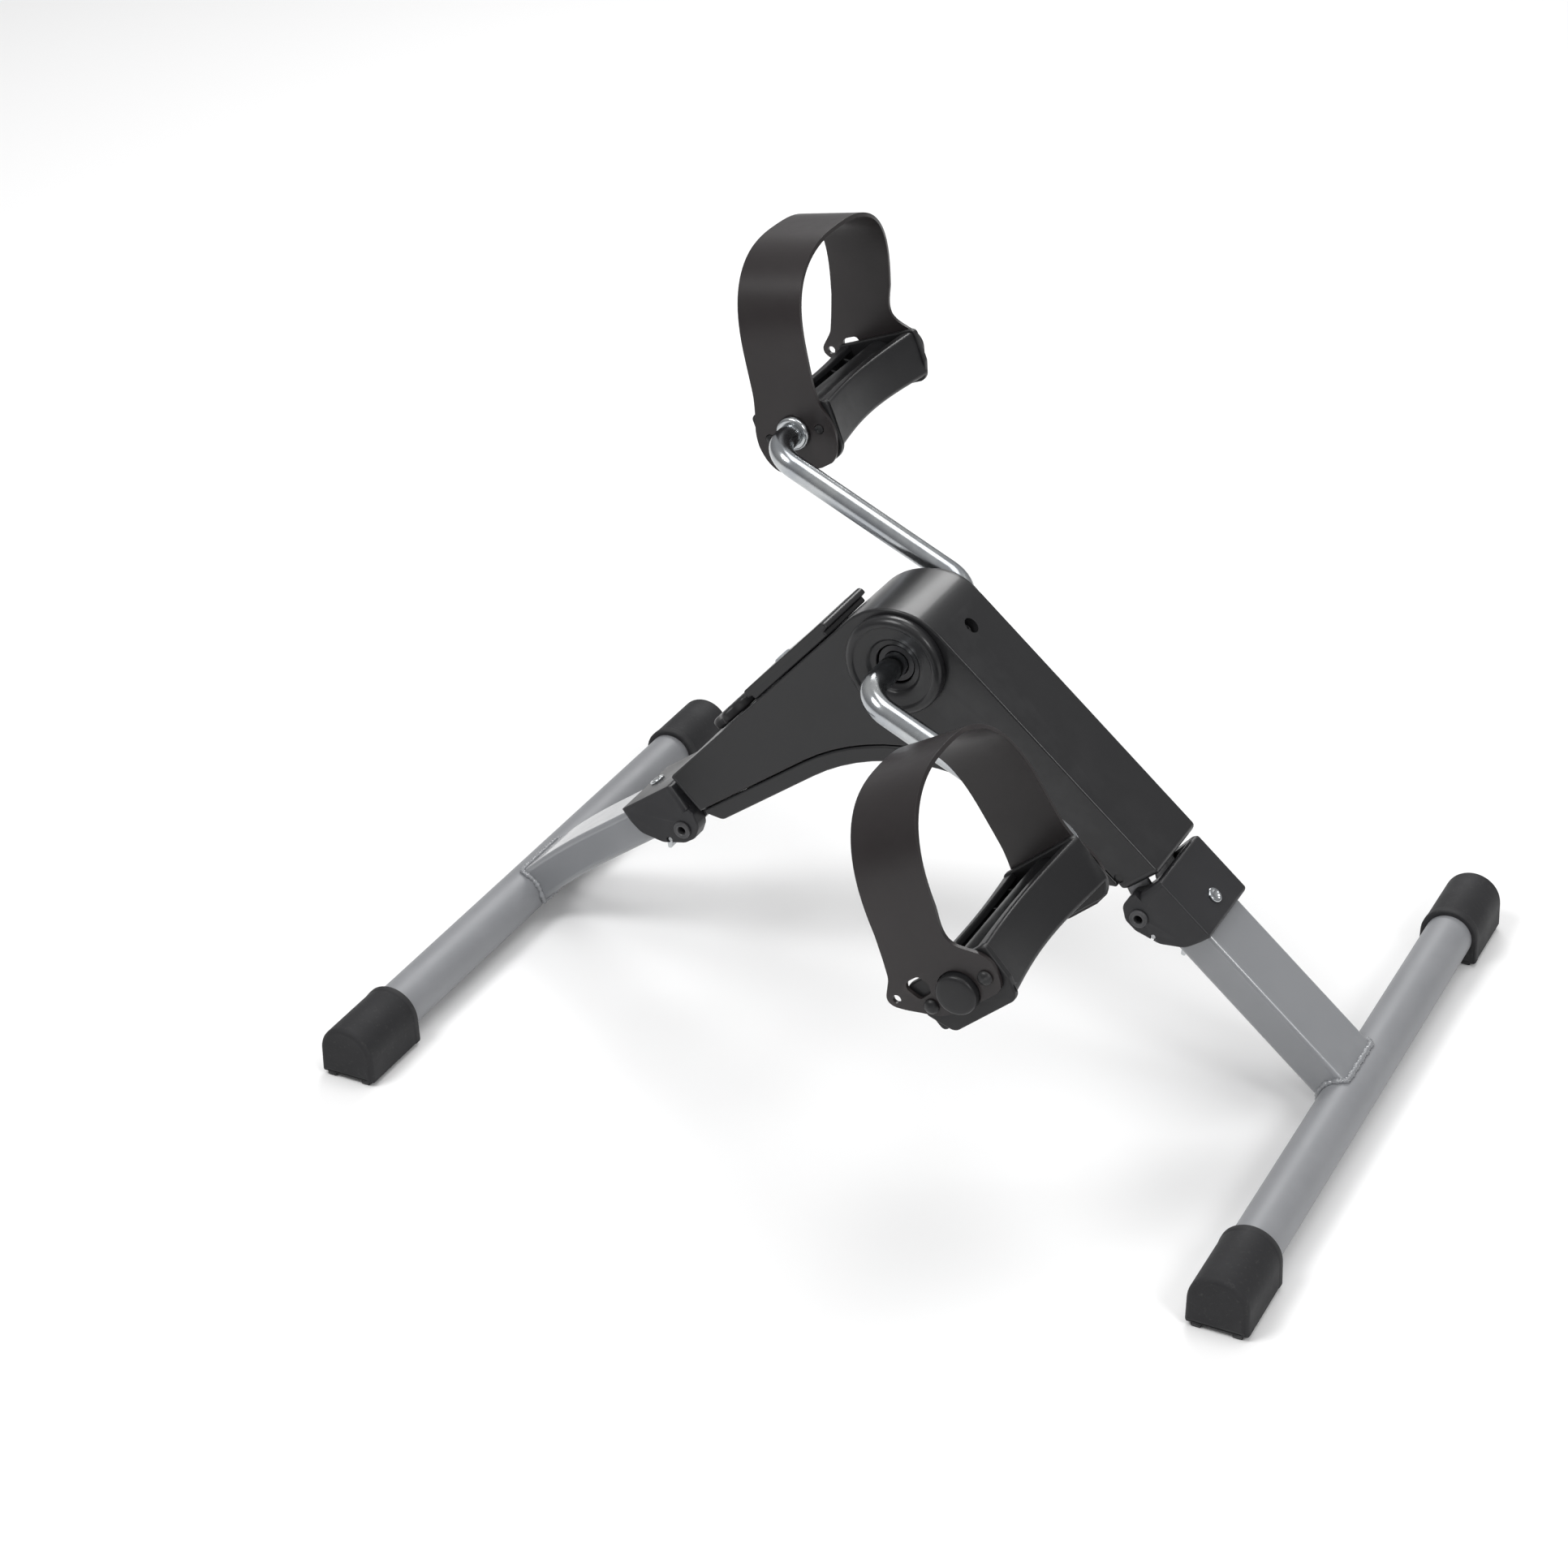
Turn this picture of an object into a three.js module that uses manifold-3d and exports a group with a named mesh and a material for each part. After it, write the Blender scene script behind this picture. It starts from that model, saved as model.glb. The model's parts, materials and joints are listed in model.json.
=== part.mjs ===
// Folding floor pedal exerciser.
// Frame: millimetres, +X towards the toes of the user, +Y to the user's left, +Z up.
// The origin is on the floor under the middle of the object. The right pedal is
// forward and low, the left pedal is back and high, half a turn apart.
import * as THREE from 'three';
import { mergeVertices } from 'three/addons/utils/BufferGeometryUtils.js';
import Module from 'manifold-3d';

const wasm = await Module();
wasm.setup();

// ---------------------------------------------------------------- dimensions
const GAP = 0.3;                 // clearance between touching pieces
// feet and crossbars
const BAR_X = 237.25;            // crossbar centre, front (+) and rear (-)
const BAR_Z = 15.5;              // crossbar centre above the floor
const BAR_R = 12.7;              // 25.4 mm round tube
const BAR_WALL = 1.5;
const BAR_HALF = 191;            // half length of the steel tube
const CAP_END = 195.5;           // outer face of the end caps
const CAP_LEN = 45.3;
const CAP_R = 15.7;              // arch radius of the end caps
const CAP_FOOT_HALF = 16.1;      // half width at the sole
const CAP_SOLE = 1.3;            // sole height, the two ribs reach the floor
// legs, 40 x 20 mm rectangular tube
const LEG_W = 40, LEG_H = 20, LEG_WALL = 1.5;
const FRONT_DEG = 41.8;          // slope of the front leg and the front of the housing
const REAR_DEG = 47.4;           // slope of the back of the housing
const REAR_LEG_DEG = 36;         // slope of the rear leg where it leaves its bracket
// crank
const CRANK_X = -3.1, CRANK_Z = 213.0;
const ROD_R = 6.35;              // 12.7 mm plated rod
const ARM_LEN = 127.6;
const ARM_DEG = 25.9;            // right arm points this far below +X
const ARM_Y = 64.4;              // plane of the arms
const BEND_R = 15;
// housing
const HALF_W = 25.5;
const WALL = 2.5;
const TOP_N = 17.2;              // front top face above the leg axis
const LOW_N = -15.5;             // underside below the leg axis
const SEAM_N = -6.0;             // parting line of the two covers
const REAR_N = 32;               // back face from the crank axis
const END_S = 151;               // housing end, measured along a leg from its crossbar
// hinge
const PIN_S = 136.6, PIN_N = -10.6, PIN_R = 3.8;
// pedals
const PED_IN = 93, PED_OUT = 201;     // pedal body, distance from the middle plane
const TILT_R = 40.7, TILT_L = 20.7;   // toe-up tilt of the pedals at rest
const STRAP_T = 2.2, STRAP_W = 37;

const rad = (d) => d * Math.PI / 180;

// ---------------------------------------------------------------- 2-D frames
const cf = Math.cos(rad(FRONT_DEG)), sf = Math.sin(rad(FRONT_DEG));
const FP = (s, n) => [BAR_X - cf * s + sf * n, BAR_Z + sf * s + cf * n];
const cr = Math.cos(rad(REAR_DEG)), sr = Math.sin(rad(REAR_DEG));
const RP = (t, n) => [CRANK_X - cr * t - sr * n, CRANK_Z - sr * t + cr * n];
const cg = Math.cos(rad(REAR_LEG_DEG)), sg = Math.sin(rad(REAR_LEG_DEG));
const REAR_Q = [-125, 102];
const GP = (s, n) => [REAR_Q[0] + cg * (s - 150) - sg * n, REAR_Q[1] + sg * (s - 150) + cg * n];

function meet(p, p2, q, q2) {
  const d = [p2[0] - p[0], p2[1] - p[1]], e = [q2[0] - q[0], q2[1] - q[1]];
  const k = ((q[0] - p[0]) * e[1] - (q[1] - p[1]) * e[0]) / (d[0] * e[1] - d[1] * e[0]);
  return [p[0] + d[0] * k, p[1] + d[1] * k];
}

// polygon from corners [x, z, radius, steps]
function rounded(corners) {
  const out = [];
  const m = corners.length;
  for (let i = 0; i < m; i++) {
    const a = corners[(i + m - 1) % m], b = corners[i], c = corners[(i + 1) % m];
    const r = b[2] || 0;
    if (!r) { out.push([b[0], b[1]]); continue; }
    const u = new THREE.Vector2(a[0] - b[0], a[1] - b[1]).normalize();
    const v = new THREE.Vector2(c[0] - b[0], c[1] - b[1]).normalize();
    const ang = Math.acos(Math.max(-1, Math.min(1, u.dot(v))));
    const t = r / Math.tan(ang / 2);
    const bis = u.clone().add(v).normalize().multiplyScalar(r / Math.sin(ang / 2));
    const cx = b[0] + bis.x, cz = b[1] + bis.y;
    const a0 = Math.atan2(b[1] + u.y * t - cz, b[0] + u.x * t - cx);
    let a1 = Math.atan2(b[1] + v.y * t - cz, b[0] + v.x * t - cx);
    let d = a1 - a0;
    while (d > Math.PI) d -= 2 * Math.PI;
    while (d < -Math.PI) d += 2 * Math.PI;
    const k = b[3] || Math.max(2, Math.ceil(Math.abs(d) / rad(22)));
    for (let j = 0; j <= k; j++) out.push([cx + r * Math.cos(a0 + d * j / k), cz + r * Math.sin(a0 + d * j / k)]);
  }
  return out;
}
const V = (p, r = 0, k = 0) => [p[0], p[1], r, k];

// ---------------------------------------------------------------- solids
// profile in X-Z, extruded along Y from y0 to y1
function prism(pts, y0, y1, holes = []) {
  const shape = new THREE.Shape(pts.map((p) => new THREE.Vector2(p[0], p[1])));
  for (const h of holes) shape.holes.push(new THREE.Path(h.map((p) => new THREE.Vector2(p[0], p[1]))));
  const g = new THREE.ExtrudeGeometry(shape, { depth: y1 - y0, bevelEnabled: false, steps: 1 });
  g.rotateX(Math.PI / 2);
  g.translate(0, y1, 0);
  return g;
}
function circle(x, z, r, k = 20) {
  const out = [];
  for (let i = 0; i < k; i++) out.push([x + r * Math.cos(2 * Math.PI * (i + 0.5) / k), z + r * Math.sin(2 * Math.PI * (i + 0.5) / k)]);
  return out;
}
const disc = (x, z, r, y0, y1, k = 20) => prism(circle(x, z, r, k), y0, y1);
const ring = (x, z, r, ri, y0, y1, k = 20) => prism(circle(x, z, r, k), y0, y1, [circle(x, z, ri, k)]);

function solid(geometry) {
  let g = geometry.clone();
  g.deleteAttribute('normal'); g.deleteAttribute('uv');
  g = mergeVertices(g, 1e-4);
  const idx = g.index.array;
  return new wasm.Manifold(new wasm.Mesh({
    numProp: 3, vertProperties: new Float32Array(g.attributes.position.array), triVerts: new Uint32Array(idx) }));
}
function geo(man) {
  const m = man.getMesh();
  const g = new THREE.BufferGeometry();
  const n = m.numProp, count = m.vertProperties.length / n;
  const pos = new Float32Array(count * 3);
  for (let i = 0; i < count; i++) for (let j = 0; j < 3; j++) pos[i * 3 + j] = m.vertProperties[i * n + j];
  g.setAttribute('position', new THREE.BufferAttribute(pos, 3));
  g.setIndex(new THREE.BufferAttribute(new Uint32Array(m.triVerts), 1));
  g.computeVertexNormals();
  return g;
}
function cut(base, ...tools) { let a = solid(base); for (const t of tools) a = a.subtract(solid(t)); return geo(a); }
function join(...pieces) { let a = solid(pieces[0]); for (const t of pieces.slice(1)) a = a.add(solid(t)); return geo(a); }
function meetSolid(a, b) { return geo(solid(a).intersect(solid(b))); }

// cylinder whose axis runs from p along the X-Z direction d
function pinAlong(p, d, r, len, y = 0, k = 16) {
  const g = new THREE.CylinderGeometry(r, r, len, k);
  g.translate(0, len / 2, 0);
  const q = new THREE.Quaternion().setFromUnitVectors(new THREE.Vector3(0, 1, 0), new THREE.Vector3(d[0], 0, d[1]).normalize());
  g.applyQuaternion(q);
  g.translate(p[0], y, p[1]);
  return g;
}
// turned piece: profile [radius, along], axis from p along X-Z direction d
function turned(profile, p, d, y = 0, k = 24) {
  const g = new THREE.LatheGeometry(profile.map((a) => new THREE.Vector2(a[0], a[1])), k);
  const q = new THREE.Quaternion().setFromUnitVectors(new THREE.Vector3(0, 1, 0), new THREE.Vector3(d[0], 0, d[1]).normalize());
  g.applyQuaternion(q);
  g.translate(p[0], y, p[1]);
  return g;
}
// turned piece on an axis parallel to Y at (x, z); profile [radius, y]
function turnedY(profile, x, z, k = 28) {
  const g = new THREE.LatheGeometry(profile.map((a) => new THREE.Vector2(a[0], a[1])), k);
  g.translate(x, 0, z);
  return g;
}

// ---------------------------------------------------------------- scene graph
const root = new THREE.Group();
const mats = {};
function mat(key, color, roughness, metalness) {
  mats[key] = new THREE.MeshStandardMaterial({ color, roughness, metalness });
}
mat('shell', 0x2d2d2f, 0.42, 0.0);
mat('bracket', 0x303032, 0.5, 0.0);
mat('silver', 0x9b9da1, 0.35, 0.7);
mat('plated', 0xb9bcc0, 0.2, 1.0);
mat('rubber', 0x3b3b3d, 0.8, 0.0);
mat('pedal', 0x2e2e30, 0.5, 0.0);
mat('strap', 0x322e2e, 0.45, 0.0);
mat('steel', 0x84878a, 0.4, 0.9);
mat('nylon', 0xd8d6cc, 0.5, 0.0);
mat('window', 0x6f7a6c, 0.15, 0.0);
mat('button', 0x9aa0a6, 0.5, 0.0);
mat('board', 0x2f6b3d, 0.5, 0.0);
mat('felt', 0x5b4632, 0.9, 0.0);
mat('blacksteel', 0x1c1c1e, 0.35, 0.8);
function add(name, geometry, m) {
  const mesh = new THREE.Mesh(geometry, mats[m]);
  mesh.name = name;
  root.add(mesh);
  return mesh;
}

// ---------------------------------------------------------------- feet and legs
function crossbar(x) { return ring(x, BAR_Z, BAR_R, BAR_R - BAR_WALL, -BAR_HALF, BAR_HALF, 24); }
function footCap(x, side) {
  const out = CAP_END, inn = CAP_END - CAP_LEN;
  const y0 = side > 0 ? inn : -out, y1 = side > 0 ? out : -inn;
  const d = [];
  d.push([x - CAP_FOOT_HALF, CAP_SOLE], [x + CAP_FOOT_HALF, CAP_SOLE]);
  for (let i = 0; i <= 12; i++) { const a = rad(-4 + (188) * i / 12); d.push([x + CAP_R * Math.cos(a), BAR_Z + CAP_R * Math.sin(a)]); }
  const body = prism(d, y0, y1);
  const ribs = [-10.2, 10.2].map((o) => prism([[x + o - 2.6, 0], [x + o + 2.6, 0], [x + o + 2.6, CAP_SOLE + 0.5], [x + o - 2.6, CAP_SOLE + 0.5]], y0, y1));
  const b0 = side > 0 ? inn - 1 : -BAR_HALF - 0.5, b1 = side > 0 ? BAR_HALF + 0.5 : -inn + 1;
  return cut(join(body, ...ribs), disc(x, BAR_Z, BAR_R + GAP, b0, b1, 24));
}
for (const [end, x] of [['front', BAR_X], ['rear', -BAR_X]]) {
  add(`${end}_crossbar`, crossbar(x), 'silver');
  add(`${end}_foot_cap_right`, footCap(x, -1), 'rubber');
  add(`${end}_foot_cap_left`, footCap(x, 1), 'rubber');
}

const TUBE_TOP = 124;            // leg tube ends inside its bracket
const RIVET_S = 119;
// front leg, straight
{
  const box = (h) => [FP(-2, -h), FP(TUBE_TOP, -h), FP(TUBE_TOP, h), FP(-2, h)];
  const outer = prism(box(LEG_H / 2), -LEG_W / 2, LEG_W / 2);
  const h = LEG_H / 2 - LEG_WALL;
  const inner = prism([FP(-30, -h), FP(TUBE_TOP + 5, -h), FP(TUBE_TOP + 5, h), FP(-30, h)], -LEG_W / 2 + LEG_WALL, LEG_W / 2 - LEG_WALL);
  const bar = disc(BAR_X, BAR_Z, BAR_R + GAP, -60, 60, 24);
  const p = FP(RIVET_S, 0), q = FP(RIVET_S, 1), d = [q[0] - p[0], q[1] - p[1]];
  add('front_leg_tube', cut(outer, inner, bar, pinAlong(p, d, 3.3, 20)), 'silver');
  const halo = cut(prism([FP(0, -12), FP(22, -12), FP(22, 12), FP(0, 12)], -22, 22),
    prism([FP(-5, -10.3), FP(30, -10.3), FP(30, 10.3), FP(-5, 10.3)], -20.3, 20.3));
  add('front_weld_bead', meetSolid(halo, ring(BAR_X, BAR_Z, 15.6, 13.0, -30, 30, 24)), 'silver');
}
// rear leg, straight below its bracket and bent down to the crossbar
const rearAxis = (() => {
  const pts = [];
  for (let s = TUBE_TOP; s >= 76; s -= 11) pts.push(GP(s, 0));
  const start = GP(72, 0);
  // gentle bend from 36 to 52 degrees, ending over the crossbar
  let [x, z] = start, a = REAR_LEG_DEG; pts.push([x, z]);
  const end = [-BAR_X + 1.5, BAR_Z];
  const n = 7;
  const dx = x - end[0];
  const a1 = 2 * Math.atan2(z - end[1], x - end[0]) * 180 / Math.PI - REAR_LEG_DEG;
  const chord = Math.hypot(x - end[0], z - end[1]);
  const sweep = rad(a1 - REAR_LEG_DEG);
  const R = chord / (2 * Math.sin(sweep / 2));
  for (let i = 1; i <= n; i++) {
    const t = sweep * i / n, b = rad(REAR_LEG_DEG);
    // tangent angle b + t measured down towards -X
    const cx = start[0] + R * Math.sin(b), cz = start[1] - R * Math.cos(b);
    pts.push([cx - R * Math.sin(b + t), cz + R * Math.cos(b + t)]);
  }
  return pts;
})();
function offsetLine(line, d) {
  return line.map((p, i) => {
    const a = line[Math.max(0, i - 1)], b = line[Math.min(line.length - 1, i + 1)];
    const t = new THREE.Vector2(b[0] - a[0], b[1] - a[1]).normalize();
    return [p[0] + t.y * d, p[1] - t.x * d];
  });
}
{
  const up = offsetLine(rearAxis, -LEG_H / 2), dn = offsetLine(rearAxis, LEG_H / 2);
  const upi = offsetLine(rearAxis, -LEG_H / 2 + LEG_WALL), dni = offsetLine(rearAxis, LEG_H / 2 - LEG_WALL);
  const ext = (line, k) => { // lengthen a line at both ends
    const a = line[0], a2 = line[1], b = line[line.length - 1], b2 = line[line.length - 2];
    const f = (p, q, m) => { const l = Math.hypot(p[0] - q[0], p[1] - q[1]); return [p[0] + (p[0] - q[0]) / l * m, p[1] + (p[1] - q[1]) / l * m]; };
    return [f(a, a2, k), ...line, f(b, b2, k)];
  };
  const outer = prism([...up, ...dn.slice().reverse()], -LEG_W / 2, LEG_W / 2);
  const inner = prism([...ext(upi, 20), ...ext(dni, 20).reverse()], -LEG_W / 2 + LEG_WALL, LEG_W / 2 - LEG_WALL);
  const bar = disc(-BAR_X, BAR_Z, BAR_R + GAP, -60, 60, 24);
  const p = GP(RIVET_S, 0), q = GP(RIVET_S, 1), d = [q[0] - p[0], q[1] - p[1]];
  const below = prism([[-300, -40], [-BAR_X + 2, -40], [-BAR_X + 2, BAR_Z - 4], [-300, BAR_Z + 2]], -60, 60);
  add('rear_leg_tube', cut(outer, inner, bar, below, pinAlong(p, d, 3.3, 20)), 'silver');
  const last = rearAxis.length - 1, c = rearAxis[last], b = rearAxis[last - 1];
  const l = Math.hypot(b[0] - c[0], b[1] - c[1]), tx = (b[0] - c[0]) / l, tz = (b[1] - c[1]) / l;
  const W = (s, n) => [c[0] + tx * s - tz * n, c[1] + tz * s + tx * n];
  const halo = cut(prism([W(0, -12.2), W(21, -12.2), W(21, 12.2), W(0, 12.2)], -22, 22),
    prism([W(-5, -10.5), W(30, -10.5), W(30, 10.5), W(-5, 10.5)], -20.3, 20.3));
  add('rear_weld_bead', meetSolid(halo, ring(-BAR_X, BAR_Z, 15.6, 13.0, -30, 30, 24)), 'silver');
}

// ---------------------------------------------------------------- folding brackets
const cheek = [[107, 13.9, 2.5], [145.5, 13.9, 4], [145.8, 0], [148.2, -5.2, 4], [146.6, -13.4, 6], [140, -18, 5], [132.6, -17.8, 6], [120, -12.4, 8], [110.8, -2.5, 10]];
function bracket(P) {
  const body = prism(rounded(cheek.map((c) => [...P(c[0], c[1]), c[2] || 0])), -HALF_W, HALF_W);
  const sock = LEG_H / 2 + GAP, sw = LEG_W / 2 + GAP;
  const channel = prism([P(90, -sock), P(TUBE_TOP + 3, -sock), P(TUBE_TOP + 3, sock), P(90, sock)], -sw, sw);
  const slot = prism([P(124.5, -30), P(160, -30), P(160, 11.4), P(124.5, 11.4)], -16.6, 16.6);
  const under = prism([P(90, -30), P(128, -30), P(128, -sock + 1), P(90, -sock + 1)], -sw, sw);
  const pin = disc(...P(PIN_S, PIN_N), PIN_R + GAP, -60, 60, 18);
  const lp = disc(...P(LATCH_S, LATCH_N), 1.9, -60, 60, 12);
  const p = P(RIVET_S, 8), q = P(RIVET_S, 9), d = [q[0] - p[0], q[1] - p[1]];
  return cut(body, channel, slot, under, pin, lp, pinAlong(p, d, 3.3, 12));
}
const LATCH_S = 124.8, LATCH_N = -12.6;
function rivet(P) {
  const p = P(RIVET_S, 6), q = P(RIVET_S, 7), d = [q[0] - p[0], q[1] - p[1]];
  return turned([[0, 0], [2.9, 0], [2.9, 8.2], [4.4, 8.2], [4.4, 8.8], [3.2, 9.7], [0, 9.9]], p, d, 0, 16);
}
function latchLever(P) {
  const side = rounded([[...P(127.2, -10.5), 0], [...P(127.6, -14.2), 2], [...P(122, -15.6), 2], [...P(110.5, -15.4), 3], [...P(106.2, -21.2), 0.8], [...P(104.2, -20.2), 0.8], [...P(108.6, -12.2), 3], [...P(122.5, -11.4), 0], [...P(123.6, -10.5), 0]]);
  return cut(prism(side, -9, 9), disc(...P(LATCH_S, LATCH_N), 1.9, -20, 20, 12));
}
for (const [end, P] of [['front', FP], ['rear', GP]]) {
  add(`${end}_bracket`, bracket(P), 'bracket');
  add(`${end}_rivet`, rivet(P), 'steel');
  add(`${end}_latch_lever`, latchLever(P), 'plated');
  add(`${end}_latch_pin`, disc(...P(LATCH_S, LATCH_N), 1.5, -24.5, 24.5, 12), 'steel');
  add(`${end}_latch_spring`, ring(...P(LATCH_S, LATCH_N), 2.5, 1.85, 9.6, 15.6, 12), 'steel');
  // hollow fold pin with a flanged head at each end
  add(`${end}_fold_pin`, turnedY([[2.3, -27.2], [4.9, -27.2], [4.9, -25.8], [PIN_R, -25.8], [PIN_R, 25.8], [4.9, 25.8], [4.9, 27.2], [2.3, 27.2], [2.3, -27.2]], ...P(PIN_S, PIN_N), 18), 'blacksteel');
}

// ---------------------------------------------------------------- housing covers
const topCorner = meet(FP(0, TOP_N), FP(1, TOP_N), RP(0, REAR_N), RP(1, REAR_N));
const rearTop = meet(RP(0, REAR_N), RP(1, REAR_N), GP(END_S, 0), GP(END_S, 1));
const lowCorner = (n) => meet(FP(0, n), FP(1, n), GP(0, n), GP(1, n));
const FACE_LOW = -3.5, CHAMFER = 12;
// upper cover: everything above the parting line
const seamS = (n) => END_S + (FACE_LOW - n);
{
  const outline = rounded([V(FP(END_S, TOP_N), 4), V(topCorner, 37, 9), V(rearTop, 4), V(GP(END_S, FACE_LOW)), V(GP(seamS(SEAM_N), SEAM_N)), V(lowCorner(SEAM_N), 120, 10), V(FP(seamS(SEAM_N), SEAM_N)), V(FP(END_S, FACE_LOW))]);
  const s = END_S + WALL;
  const tc = meet(FP(0, TOP_N - WALL), FP(1, TOP_N - WALL), RP(0, REAR_N - WALL), RP(1, REAR_N - WALL));
  const rt = meet(RP(0, REAR_N - WALL), RP(1, REAR_N - WALL), GP(s, 0), GP(s, 1));
  const cavity = prism(rounded([V(FP(s, TOP_N - WALL), 2), V(tc, 34.5, 9), V(rt, 2), V(GP(s, -40)), V(lowCorner(-40)), V(FP(s, -40))]), -HALF_W + WALL, HALF_W - WALL);
  const slots = [FP, GP].map((P) => prism([P(140, -30), P(s + 1, -30), P(s + 1, 9), P(140, 9)], -16.6, 16.6));
  const bores = disc(CRANK_X, CRANK_Z, 13, -40, 40, 24);
  const hp = FP(299.3, 5), hq = FP(299.3, 6), hd = [hq[0] - hp[0], hq[1] - hp[1]];
  const hole = pinAlong(hp, hd, 4.3, 20);
  const kp = RP(KNOB_T(), 10), kd = [-sr, cr];
  const knobHole = pinAlong(kp, kd, 4.2, 40);
  const sp = RP(54, 10);
  const wire = pinAlong(sp, kd, 3, 40);
  add('upper_cover', cut(prism(outline, -HALF_W, HALF_W), cavity, ...slots, bores, hole, knobHole, wire), 'shell');
}
function KNOB_T() { return 112; }
{
  const n0 = SEAM_N - GAP;
  const outline = rounded([V(FP(seamS(n0), n0)), V(lowCorner(n0), 120, 10), V(GP(seamS(n0), n0)), V(GP(END_S + CHAMFER, LOW_N), 5), V(lowCorner(LOW_N), 110, 10), V(FP(END_S + CHAMFER, LOW_N), 5)]);
  const nf = LOW_N + WALL;
  const cavity = prism(rounded([V(FP(160, 20)), V(lowCorner(20)), V(GP(160, 20)), V(GP(160, nf + 4)), V(GP(END_S + CHAMFER + 6, nf)), V(lowCorner(nf), 112.5, 10), V(FP(END_S + CHAMFER + 6, nf)), V(FP(160, nf + 4))]), -HALF_W + WALL, HALF_W - WALL);
  const slots = [FP, GP].map((P) => prism([P(140, -40), P(166, -40), P(166, 9), P(140, 9)], -16.6, 16.6));
  add('lower_cover', cut(prism(outline, -HALF_W, HALF_W), cavity, ...slots, ...SCREW_CUTS()), 'shell');
}
// two screws come up through the lower cover
function SCREW_CUTS() {
  return [[FP, 178], [GP, 200]].map(([P, s]) => { const p = P(s, -60), q = P(s, -59); return pinAlong(p, [q[0] - p[0], q[1] - p[1]], 2.4, 80, 0, 12); });
}

// ---------------------------------------------------------------- inner steel chassis
{
  const side = rounded([
    V(FP(127.9, -19.3), 6.8), V(FP(127.9, -1.9), 7), V(FP(165, 6), 10), V([CRANK_X - 3, CRANK_Z + 30], 22, 6), V(GP(165, 6), 10),
    V(GP(127.9, -1.9), 7), V(GP(127.9, -19.3), 6.8), V(GP(147, -11.5), 4), V(GP(172, -3), 20), V([CRANK_X, CRANK_Z - 22], 26, 5), V(FP(172, -3), 20), V(FP(147, -11.5), 4)]);
  const hollow = (y0, y1) => prism(side, y0, y1);
  const plates = [hollow(-16, -14), hollow(14, 16)];
  const web = (P, a, b) => prism([P(a, 0), P(b, 0), P(b, 2), P(a, 2)], -14.5, 14.5);
  const tools = [disc(...FP(PIN_S, PIN_N), PIN_R + GAP, -30, 30, 18), disc(...GP(PIN_S, PIN_N), PIN_R + GAP, -30, 30, 18), disc(CRANK_X, CRANK_Z, 10.3, -30, 30, 24)];
  add('inner_chassis', cut(join(...plates, web(FP, 160, 262), web(GP, 160, 186)), ...tools), 'steel');
}
for (const [name, s] of [['right', -1], ['left', 1]]) {
  const y = (a) => s * a;
  const prof = [[6.65, y(12.2)], [10, y(12.2)], [10, y(16.3)], [12.5, y(16.3)], [12.5, y(18.3)], [10, y(18.3)], [10, y(26.2)], [6.65, y(26.2)], [6.65, y(12.2)]];
  add(`bearing_bush_${name}`, turnedY(s > 0 ? prof : prof.slice().reverse(), CRANK_X, CRANK_Z, 20), 'nylon');
  // round dished cover over each bearing
  const b = [[10.6, y(25.8)], [26.5, y(25.8)], [26.5, y(29.4)], [25.2, y(31.2)], [22.6, y(32.2)], [18.5, y(32.0)], [14.5, y(30.2)], [12.6, y(28.2)], [10.6, y(27.6)], [10.6, y(25.8)]];
  add(`bearing_cover_${name}`, turnedY(s > 0 ? b : b.slice().reverse(), CRANK_X, CRANK_Z, 24), 'shell');
}

// ---------------------------------------------------------------- crank
class BentRod extends THREE.Curve {
  constructor(points, r) {
    super();
    this.parts = [];
    let prev = points[0];
    for (let i = 1; i < points.length - 1; i++) {
      const b = points[i], u = prev.clone().sub(b).normalize(), v = points[i + 1].clone().sub(b).normalize();
      const ang = u.angleTo(v), t = r / Math.tan(ang / 2);
      const s0 = b.clone().addScaledVector(u, t), s1 = b.clone().addScaledVector(v, t);
      const c = b.clone().addScaledVector(u.clone().add(v).normalize(), r / Math.sin(ang / 2));
      this.parts.push({ a: prev, b: s0, len: prev.distanceTo(s0) });
      this.parts.push({ c, s0, s1, len: r * (Math.PI - ang), ang: Math.PI - ang });
      prev = s1;
    }
    const e = points[points.length - 1];
    this.parts.push({ a: prev, b: e, len: prev.distanceTo(e) });
    this.total = this.parts.reduce((q, p) => q + p.len, 0);
  }
  getPoint(t, target = new THREE.Vector3()) {
    let d = Math.max(0, Math.min(1, t)) * this.total;
    for (const p of this.parts) {
      if (d <= p.len || p === this.parts[this.parts.length - 1]) {
        if (!p.c) return target.copy(p.a).lerp(p.b, Math.min(1, d / p.len));
        const k = d / p.len, x = p.s0.clone().sub(p.c), w = p.s1.clone().sub(p.c);
        const s = Math.sin(p.ang);
        return target.copy(p.c).addScaledVector(x, Math.sin((1 - k) * p.ang) / s).addScaledVector(w, Math.sin(k * p.ang) / s);
      }
      d -= p.len;
    }
    return target;
  }
}
function rod(points, bend, r, sides, steps) {
  const curve = new BentRod(points, bend);
  const shape = new THREE.Shape();
  for (let i = 0; i < sides; i++) {
    const a = 2 * Math.PI * (i + 0.5) / sides;
    if (i) shape.lineTo(r * Math.cos(a), r * Math.sin(a)); else shape.moveTo(r * Math.cos(a), r * Math.sin(a));
  }
  return new THREE.ExtrudeGeometry(shape, { steps, bevelEnabled: false, extrudePath: curve });
}
const armDir = [Math.cos(rad(ARM_DEG)), -Math.sin(rad(ARM_DEG))];
const axleR = [CRANK_X + armDir[0] * ARM_LEN, CRANK_Z + armDir[1] * ARM_LEN];
const axleL = [CRANK_X - armDir[0] * ARM_LEN, CRANK_Z - armDir[1] * ARM_LEN];
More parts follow.
